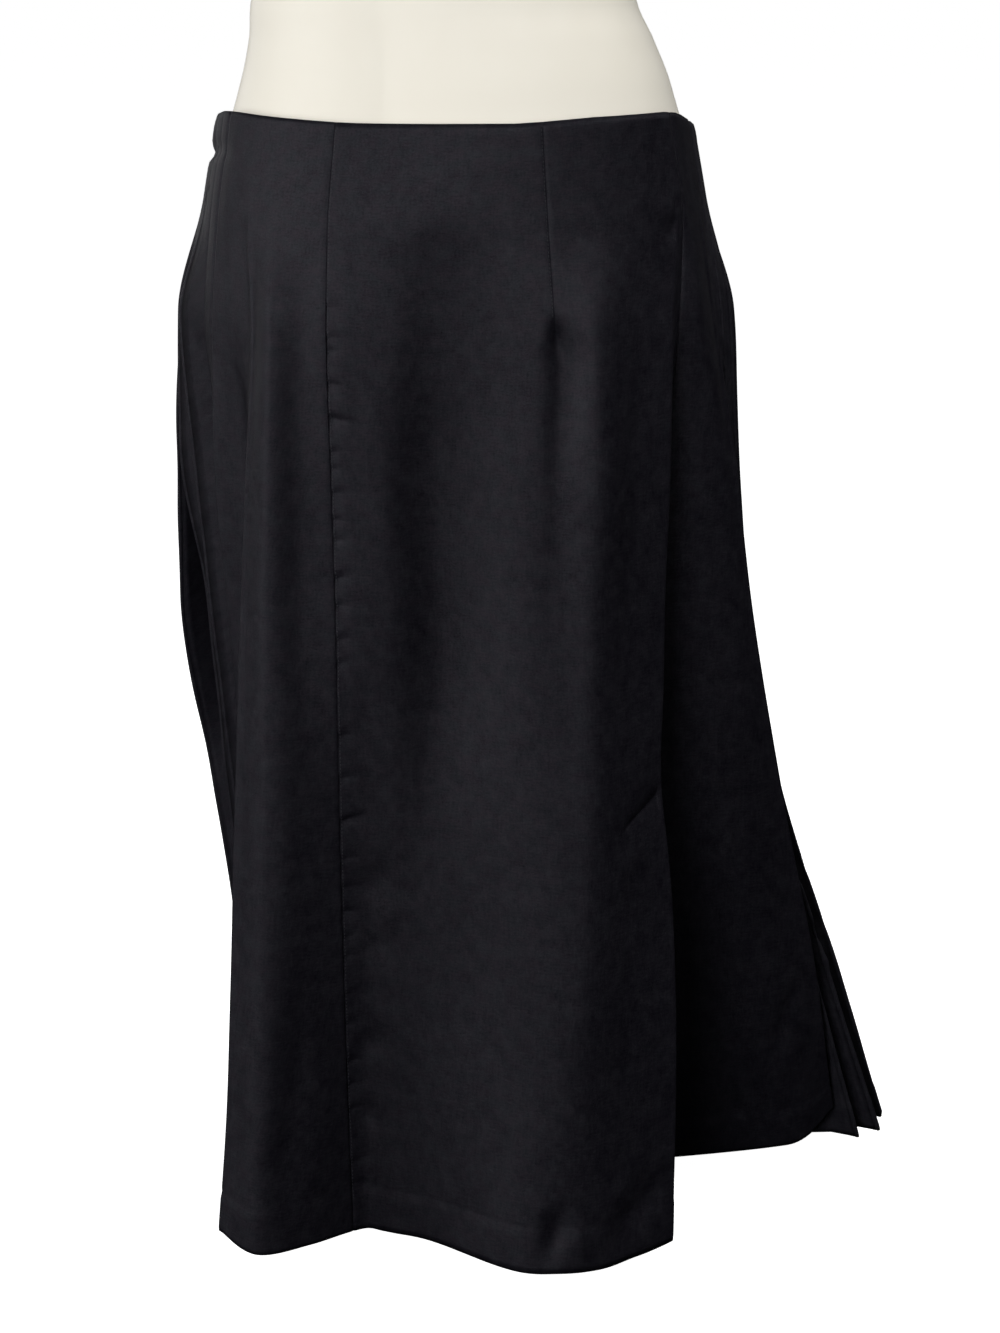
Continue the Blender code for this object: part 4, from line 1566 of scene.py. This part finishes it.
@dataclass
class PleatedPanel(ClothPanel):
    """Sunray pleats of the back, sewn down flat as far as the hip.

    Attributes:
        flat_to: drop at which the pleats are let go.
    """

    flat_to: float = 0.115

    INSIDE_GROOVE = 0.00040
    OUTSIDE_RIDGE = 0.00012
    LINE_SPREAD = 0.0011
    LETTING_GO = 0.06        # drop over which the sewn-down lines fade

    def edges(self) -> np.ndarray:
        """Seams and hem, with a fine line where each pleat is sewn down.

        Returns:
            How far every grid point stands out for them.
        """
        total = super().edges()
        held = 1.0 - smooth((self.drops - self.flat_to + 0.5 * self.LETTING_GO) / self.LETTING_GO)
        for fold in self.trace.folds:
            if fold.kind is PRESSED and ("inside" in fold.name or fold.name.startswith("back_")):
                off = self.arcs - self.trace.arc_at(fold.name)[:, None]
                inward = "inside" in fold.name or int(fold.name.rsplit("_", 1)[1]) % 2 == 0
                height = -self.INSIDE_GROOVE if inward else self.OUTSIDE_RIDGE
                total += height * bell(off, self.LINE_SPREAD) * held
        return total


@dataclass
class StitchRow:
    """A row of sewing stitches that lie on a panel.

    Attributes:
        name: the row's name.
        panel: the panel that carries it.
        arc_of: arc length of the row at a drop, as pairs of (drop, arc).
        first: drop of the first stitch.
        last: drop of the last stitch.
        pitch: distance between two stitches.
        length: length of a stitch.
        radius: half the thread's thickness.
    """

    name: str
    panel: ClothPanel
    arc_of: tuple[np.ndarray, np.ndarray]
    first: float
    last: float
    pitch: float = 0.0022
    length: float = 0.0015
    radius: float = 0.00022

    SIDES = 6
    RINGS = ((0.0, 0.0), (0.06, 0.72), (0.25, 1.0), (0.75, 1.0), (0.94, 0.72), (1.0, 0.0))
    RISE = 1.6          # how far the middle rises, in radii
    LEAST = 0.05        # smallest ring, as a share of the radius

    def _stitch(self, start: Vector, end: Vector, normal: Vector) -> np.ndarray:
        """Points of one stitch: a round bar that sinks in at both ends.

        Args:
            start: where the thread comes up.
            end: where it goes down.
            normal: the cloth's normal.

        Returns:
            The points, ring by ring.
        """
        along = (end - start).normalized()
        side = along.cross(normal).normalized()
        points = []
        for share, size in self.RINGS:
            centre = start.lerp(end, share) + normal * self.radius * (self.RISE * size - 1.0)
            for k in range(self.SIDES):
                turn = 2.0 * math.pi * k / self.SIDES
                out = side * math.cos(turn) + normal * math.sin(turn)
                points.append(centre + out * self.radius * max(size, self.LEAST))
        return np.array(points)

    def build(self, material: bpy.types.Material) -> bpy.types.Object:
        """All stitches of the row as one joined mesh on the panel.

        Args:
            material: the thread's finish.

        Returns:
            The row's object.
        """
        points, faces = [], []
        per_stitch = len(self.RINGS) * self.SIDES
        for number, drop in enumerate(np.arange(self.first, self.last, self.pitch)):
            ends = []
            for at in (drop, drop + self.length):
                place, normal = self.panel.surface(float(np.interp(at, *self.arc_of)), at)
                ends.append(place)
            points.append(self._stitch(ends[0], ends[1], normal))
            base = number * per_stitch
            for ring in range(len(self.RINGS) - 1):
                for k in range(self.SIDES):
                    n = (k + 1) % self.SIDES
                    low, high = base + ring * self.SIDES, base + (ring + 1) * self.SIDES
                    faces.append((low + k, low + n, high + n, high + k))
            faces.append(tuple(base + k for k in reversed(range(self.SIDES))))
            faces.append(tuple(base + per_stitch - self.SIDES + k for k in range(self.SIDES)))
        piece = link_mesh(self.name, np.concatenate(points), faces, material)
        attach(piece, BODY)
        log.info("%s: %d stitches", self.name, len(points))
        return piece


@dataclass(frozen=True)
class FormRing:
    """Level section of the dress form.

    Attributes:
        drop: how far it lies below the skirt's waist edge.
        middle: its middle in x.
        half_width: half its width.
        half_depth: half its depth.
    """

    drop: float
    middle: float
    half_width: float
    half_depth: float


@dataclass
class DressForm:
    """Smooth limbless hip form.

    Attributes:
        rings: its sections from the top down.
        sides: points round each section.
        levels: sections of the fine surface.
        ease: how much slimmer the fine surface is where the cloth covers it.
        crown: how far the top is domed.
    """

    rings: tuple[FormRing, ...] = (
        FormRing(-0.158, -0.0080, 0.0850, 0.0600),
        FormRing(-0.155, -0.0080, 0.0980, 0.0690),
        FormRing(-0.145, -0.0080, 0.1065, 0.0745),
        FormRing(-0.105, -0.0080, 0.1085, 0.0760),
        FormRing(-0.064, -0.0062, 0.1163, 0.0815),
        FormRing(-0.045, -0.0022, 0.1215, 0.0850),
        FormRing(-0.020, 0.0003, 0.1293, 0.0905),
        FormRing(0.000, 0.0005, 0.1352, 0.0950),
        FormRing(0.030, 0.0000, 0.1460, 0.1045),
        FormRing(0.058, 0.0000, 0.1530, 0.1100),
        FormRing(0.085, 0.0000, 0.1542, 0.1090),
        FormRing(0.120, 0.0000, 0.1530, 0.1055),
        FormRing(0.170, 0.0000, 0.1460, 0.1000),
        FormRing(0.215, 0.0000, 0.1350, 0.0930),
        FormRing(0.245, 0.0000, 0.1220, 0.0840),
        FormRing(0.262, 0.0000, 0.1020, 0.0700),
        FormRing(0.270, 0.0000, 0.0780, 0.0540),
    )
    sides: int = 144
    levels: int = 150
    ease: float = 0.0006
    crown: float = 0.0015

    CAP_SHARES = (0.85, 0.6, 0.3, 0.05)

    def _level(self, middle: float, half_width: float, half_depth: float,
               height: float) -> np.ndarray:
        """Points of one oval section.

        Args:
            middle: its middle in x.
            half_width: half its width.
            half_depth: half its depth.
            height: its height over the floor.

        Returns:
            The points round it.
        """
        turn = np.linspace(0.0, 2.0 * math.pi, self.sides, endpoint=False)
        return np.stack([middle + half_width * np.sin(turn), -half_depth * np.cos(turn),
                         np.full(self.sides, height)], axis=1)

    def build(self, material: bpy.types.Material) -> bpy.types.Object:
        """The closed form with a softly domed top.

        Args:
            material: the form's finish.

        Returns:
            The form's object.
        """
        given = np.array([ring.drop for ring in self.rings])
        even = np.linspace(given[0], given[-1], self.levels)
        drops = np.unique(np.concatenate([even, given, given[0] + np.array([0.001, 0.002, 0.006])]))
        values = [monotone(given, np.array([getattr(ring, key) for ring in self.rings]), drops)
                  for key in ("middle", "half_width", "half_depth")]
        slim = self.ease * smooth((drops - 0.004) / 0.02)
        levels = [self._level(m, w - s, d - s, WAIST_Z - drop)
                  for m, w, d, drop, s in zip(*values, drops, slim)]
        top, low = self.rings[0], self.rings[-1]
        for share in self.CAP_SHARES:
            height = WAIST_Z - top.drop + self.crown * (1.0 - share ** 2)
            levels.insert(0, self._level(top.middle, top.half_width * share,
                                         top.half_depth * share, height))
            levels.append(self._level(low.middle, low.half_width * share, low.half_depth * share,
                                      WAIST_Z - low.drop))
        points = np.concatenate(levels)
        faces = []
        for level in range(len(levels) - 1):
            for k in range(self.sides):
                n = (k + 1) % self.sides
                a, b = level * self.sides, (level + 1) * self.sides
                faces.append((a + k, b + k, b + n, a + n))
        last = len(points) - self.sides
        faces.append(tuple(range(self.sides)))
        faces.append(tuple(last + k for k in reversed(range(self.sides))))
        piece = link_mesh("hip_form", points, faces, material)
        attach(piece, BODY)
        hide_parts("dress_form")
        log.info("hip_form: %d levels", len(levels))
        return piece


@dataclass
class Stand:
    """Pole and round foot, whose solids keep their shape and get a brushed finish.

    Attributes:
        nodes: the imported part's objects by name.
    """

    nodes: dict[str, bpy.types.Object]

    def build(self) -> None:
        """Gives the pole and the foot their finish."""
        along_pole = SteelFinish("brushed_pole").material()
        across_foot = SteelFinish("brushed_foot", (12.0, 900.0, 900.0)).material()
        for name, material in (("form_pole", along_pole), ("form_base", across_foot)):
            for place in range(len(self.nodes[name].data.materials)):
                self.nodes[name].data.materials[place] = material
            log.info("%s: brushed steel", name)


@dataclass(frozen=True)
class SoftBox:
    """A large soft light that faces the skirt.

    Attributes:
        name: the light's name.
        around: degrees round the skirt from its front, positive towards +X.
        away: distance from the skirt's axis.
        height: height over the floor.
        size: its width and height.
        power: watts.
        glossy: whether it shows in the sheen of the cloth.
    """

    name: str
    around: float
    away: float
    height: float
    size: tuple[float, float]
    power: float
    glossy: bool = True

    AIM = Vector((0.0, 0.0, 0.45))

    def build(self) -> bpy.types.Object:
        """Puts the light in the scene.

        Returns:
            The light, in place.
        """
        lamp = bpy.data.lights.new(self.name, "AREA")
        lamp.shape = "RECTANGLE"
        lamp.size, lamp.size_y = self.size
        lamp.energy = self.power
        box = bpy.data.objects.new(self.name, lamp)
        bpy.context.scene.collection.objects.link(box)
        turn = math.radians(self.around)
        place = Vector((self.away * math.sin(turn), -self.away * math.cos(turn), self.height))
        box.location = place
        box.rotation_euler = (self.AIM - place).to_track_quat("-Z", "Y").to_euler()
        box.visible_glossy = self.glossy
        return box


@dataclass
class Studio:
    """Camera, floor and light.

    Attributes:
        distance: camera to the middle of the skirt, along -Y.
        over_waist: camera height over the waist edge.
        aside: camera's place in x.
        pitch: degrees that it looks down.
        focal_pixels: focal length in pixels of the frame.
        frame_height: height of the frame in pixels.
        world_light: strength of the light from all round.
        soft_boxes: the lights.
    """

    distance: float = 1.9
    over_waist: float = 0.115
    aside: float = 0.02725
    pitch: float = 13.6
    focal_pixels: float = 3095.0
    frame_height: float = 1333.0
    world_light: float = 0.0
    soft_boxes: tuple[SoftBox, ...] = (
        SoftBox("front", -15.0, 2.8, 1.2, (0.9, 2.0), 5.8),
        SoftBox("front_left", -60.0, 2.8, 1.2, (0.9, 2.0), 11.6),
        SoftBox("left", -80.0, 2.8, 1.2, (0.9, 2.0), 9.4),
        SoftBox("left_behind", -115.0, 2.8, 1.2, (0.9, 2.0), 2.2),
        SoftBox("behind_left", -140.0, 2.8, 1.2, (0.9, 2.0), 6.6),
        SoftBox("near_left", -10.0, 1.0, 1.3, (0.5, 0.5), 1.1),
        SoftBox("near_right", 20.0, 1.0, 1.3, (0.5, 0.5), 1.9),
        SoftBox("high_right", 100.0, 1.9, 2.7, (1.2, 1.2), 4.8),
        SoftBox("right_behind", 140.0, 2.8, 1.2, (0.9, 2.0), 0.8),
        SoftBox("front_fill", -15.0, 2.8, 1.2, (0.9, 2.0), 50.0, False),
        SoftBox("left_fill", -80.0, 2.8, 1.2, (0.9, 2.0), 23.0, False),
        SoftBox("high_right_fill", 90.0, 1.9, 2.7, (1.2, 1.2), 46.0, False),
    )

    SENSOR = 36.0
    FAR_CLIP = 200.0
    FLOOR_HALF = 45.0
    FLOOR_SINK = 0.0005      # keeps the floor clear of the foot's underside

    def camera(self) -> bpy.types.Object:
        """Puts the camera in the scene, looking a little down at the front.

        Returns:
            The camera.
        """
        lens = bpy.data.cameras.new("camera")
        lens.sensor_fit = "VERTICAL"
        lens.sensor_height = self.SENSOR
        lens.lens = self.focal_pixels / self.frame_height * self.SENSOR
        lens.clip_end = self.FAR_CLIP
        camera = bpy.data.objects.new("camera", lens)
        bpy.context.scene.collection.objects.link(camera)
        camera.location = (self.aside, -self.distance, WAIST_Z + self.over_waist)
        camera.rotation_euler = (math.radians(90.0 - self.pitch), 0.0, 0.0)
        bpy.context.scene.camera = camera
        return camera

    def floor(self) -> bpy.types.Object:
        """Lays a wide pale floor.

        Returns:
            The floor.
        """
        half = self.FLOOR_HALF
        corners = np.array([(-half, -half, 0.0), (half, -half, 0.0), (half, half, 0.0),
                            (-half, half, 0.0)])
        floor = link_mesh("floor", corners, [(0, 1, 2, 3)], FloorFinish("pale_floor").material())
        floor.location.z = -self.FLOOR_SINK
        floor.visible_glossy = False
        floor.visible_diffuse = False
        return floor

    def light(self) -> None:
        """Soft lights and an even light from all round."""
        for box in self.soft_boxes:
            box.build()
        world = bpy.data.worlds.new("studio")
        world.use_nodes = True
        sky = world.node_tree.nodes["Background"]
        sky.inputs["Color"].default_value = (1.0, 1.0, 1.0, 1.0)
        sky.inputs["Strength"].default_value = self.world_light
        bpy.context.scene.world = world
        bpy.context.scene.view_settings.view_transform = "Standard"

    def build(self) -> None:
        """Camera, floor and light in turn."""
        self.camera()
        self.floor()
        self.light()
        log.info("studio: camera, floor and %d lights", len(self.soft_boxes))


# Creases, from the waist down
HIP_BAND = Crease(((-0.1330, 0.056), (-0.0300, 0.059), (0.0700, 0.057)), 0.0026, 0.0110, 0.5)
WAIST_CORNER = Crease(((-0.1465, 0.012), (-0.1490, 0.028)), -0.0130, 0.0110, 0.5)

CENTRE_CREASES = (
    Crease(((0.1150, 0.0630), (0.1320, 0.0650)), -0.0062, 0.0056, 0.95),
    Crease(((0.1120, 0.0520), (0.1300, 0.0540)), 0.0050, 0.0056, 0.9),
    Crease(((0.0616, 0.104), (0.0640, 0.135), (0.0652, 0.215)), -0.0060, 0.0076, 0.25, 1.35),
    HIP_BAND,
    Crease(((0.1060, 0.418), (0.1010, 0.455)), 0.0010, 0.0090, 0.4),
    Crease(((-0.0590, 0.466), (-0.0340, 0.424)), -0.0022, 0.0130, 0.4, 0.5),
    Crease(((-0.0560, 0.500), (-0.0240, 0.468)), -0.0012, 0.0120, 0.3, 0.5),
    Crease(((-0.0590, 0.560), (-0.0400, 0.534)), -0.0020, 0.0100, 0.3, 0.5),
    Crease(((-0.0590, 0.606), (-0.0430, 0.590)), -0.0018, 0.0100, 0.3, 0.5),
    Crease(((0.0640, 0.628), (0.0600, 0.650), (0.0550, 0.676)), -0.0060, 0.0066, 0.5),
    Crease(((0.0575, 0.637), (0.0550, 0.649)), -0.0010, 0.0034, 0.5),
    Crease(((0.0760, 0.630), (0.0750, 0.675)), 0.0024, 0.0052, 0.6),
    Crease(((0.1360, 0.618), (0.1180, 0.640), (0.1030, 0.656), (0.0970, 0.676)),
           -0.0036, 0.0092, 0.6),
    Crease(((0.1200, 0.604), (0.1020, 0.626), (0.0860, 0.650)), 0.0012, 0.0060, 0.5),
    Crease(((0.1080, 0.487), (0.1285, 0.481)), -0.0006, 0.0040, 0.75),
    Crease(((0.1120, 0.518), (0.1290, 0.515)), -0.0006, 0.0036, 0.75),
    Crease(((0.1120, 0.549), (0.1290, 0.546)), -0.0005, 0.0036, 0.75),
    Crease(((0.0250, 0.620), (0.0060, 0.652), (0.0030, 0.675)), -0.0009, 0.0070, 0.6),
    Crease(((-0.0554, 0.6225), (-0.0530, 0.6300)), -0.0009, 0.0024, 0.5),
)

LEFT_CREASES = (
    HIP_BAND,
    WAIST_CORNER,
    Crease(((-0.0850, 0.450), (-0.0950, 0.560), (-0.1070, 0.665)), -0.0032, 0.0105, 0.75),
    Crease(((-0.0990, 0.260), (-0.0995, 0.450), (-0.0980, 0.672)), 0.0032, 0.0130, 0.3),
    Crease(((-0.1220, 0.636), (-0.1140, 0.660)), 0.0009, 0.0045, 0.6),
)

SIDE_CREASES = (
    Crease(((0.2280, 0.540), (0.2140, 0.572), (0.2000, 0.624)), -0.0019, 0.0050, 0.5),
    Crease(((0.2230, 0.592), (0.2110, 0.630)), 0.0012, 0.0050, 0.5),
    Crease(((0.1860, 0.560), (0.1930, 0.640)), 0.0009, 0.0080, 0.6),
    Crease(((0.1660, 0.200), (0.1780, 0.360), (0.1900, 0.500)), 0.0009, 0.0100, 0.5),
    Crease(((0.1790, 0.628), (0.1840, 0.652)), -0.0010, 0.0044, 0.6),
    Crease(((0.2180, 0.640), (0.2080, 0.655)), -0.0009, 0.0040, 0.6),
)

BACK_RIGHT_CREASES = (
    Crease(((0.2250, 0.520), (0.2420, 0.540)), -0.0018, 0.0040, 0.5),
    Crease(((0.2300, 0.546), (0.2460, 0.555)), 0.0016, 0.0036, 0.5),
    Crease(((0.2120, 0.480), (0.2300, 0.500)), -0.0012, 0.0040, 0.5),
)

BACK_LEFT_CREASES = (
    WAIST_CORNER,
    Crease(((-0.1510, 0.105), (-0.1560, 0.125), (-0.1517, 0.170)), -0.0009, 0.0040, 0.5),
    Crease(((-0.1720, 0.284), (-0.1610, 0.292)), -0.0010, 0.0030, 0.5),
)


CHARCOAL_WEAVE = ClothFinish("charcoal_weave")
# Painted light: the same charcoal cloth with its colours made lighter and its shine raised, so that
# the back-right pleats, which the lamps hardly reach, render brighter than the rest of the skirt.
PAINTED_LIGHTER_WEAVE = ClothFinish("pressed_weave", dark=(0.0055, 0.0051, 0.0076),
                            middle=(0.0118, 0.0113, 0.0148), light=(0.0196, 0.0191, 0.0232),
                            specular=(0.32, 0.80))

PLEAT_COLUMNS = 0.0080
PLEAT_ROWS = 0.0038
SEAM_STITCHES_OFF = 0.0013     # how far the stitches lie from the princess seam
DART_STITCHES_OFF = 0.0014     # how far they lie from the dart's line


def main() -> None:
    """Builds the skirt, the form, the stand and the studio in turn."""
    logging.basicConfig(level=logging.INFO, format="%(message)s")
    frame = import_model()
    Studio().build()
    plan = SkirtPlan()
    cloth = CHARCOAL_WEAVE.material()
    # painted-lighter copy of the cloth, which stands in for light on the back-right pleats
    pressed = PAINTED_LIGHTER_WEAVE.material()
    thread = ThreadFinish("charcoal_thread").material()

    left_seam = ("left_inner_inside", 0.85)
    right_seam = ("deep_fold", 0.12)
    pleats_start = ("side_ridge", 0.8)
    middle_back = (f"back_{BACK_PLEATS}", 0.5)
    left = ClothPanel("front_left_panel", left_seam, ("princess_seam", 0.0), plan,
                      creases=LEFT_CREASES, ripple=Ripple(0.00012, 8), crisp=("left_ridge",))
    centre = FrontCentrePanel("front_centre_panel", ("princess_seam", 0.0), right_seam, plan,
                              column_step=0.0034,
                              fine_steps={"right_ridge": 0.0020, "right_flat": 0.0018},
                              creases=CENTRE_CREASES, ripple=Ripple(0.00010, 5))
    side = ClothPanel("right_side_panel", right_seam, pleats_start, plan,
                      creases=SIDE_CREASES, ripple=Ripple(0.00015, 2), crisp=("side_ridge",))
    back_right = PleatedPanel("back_right_pleats", pleats_start, middle_back, plan, Hold.FOLDED,
                              PLEAT_COLUMNS, PLEAT_ROWS, creases=BACK_RIGHT_CREASES,
                              ripple=Ripple(0.00025, 4, 0.03, 0.05),
                              crisp=("first_pleat", "second_pleat", "third_pleat"))
    back_left = PleatedPanel("back_left_pleats", middle_back, left_seam, plan, Hold.FOLDED,
                             PLEAT_COLUMNS, PLEAT_ROWS, creases=BACK_LEFT_CREASES,
                             ripple=Ripple(0.00025, 9, 0.03, 0.05),
                             crisp=("left_thin_pleat", "left_middle_pleat", "left_outer_pleat"))
    # The back-right pleats get the painted-lighter copy of the cloth. The other panels get the plain
    # weave.
    for panel, finish in ((left, cloth), (centre, cloth), (side, cloth), (back_right, pressed),
                          (back_left, cloth)):
        panel.build(finish)

    row_drops = centre.rows()
    beside_seam = (row_drops, np.full(row_drops.shape, SEAM_STITCHES_OFF))
    beside_dart = (row_drops, centre.trace.arc_at("dart_line") - DART_STITCHES_OFF)
    StitchRow("princess_stitches", centre, beside_seam, 0.004, 0.655).build(thread)
    StitchRow("dart_stitches", centre, beside_dart, 0.004, 0.108).build(thread)

    DressForm().build(IvoryFinish("ivory_gloss").material())
    Stand(frame["nodes"]).build()


if __name__ == "__main__":
    main()
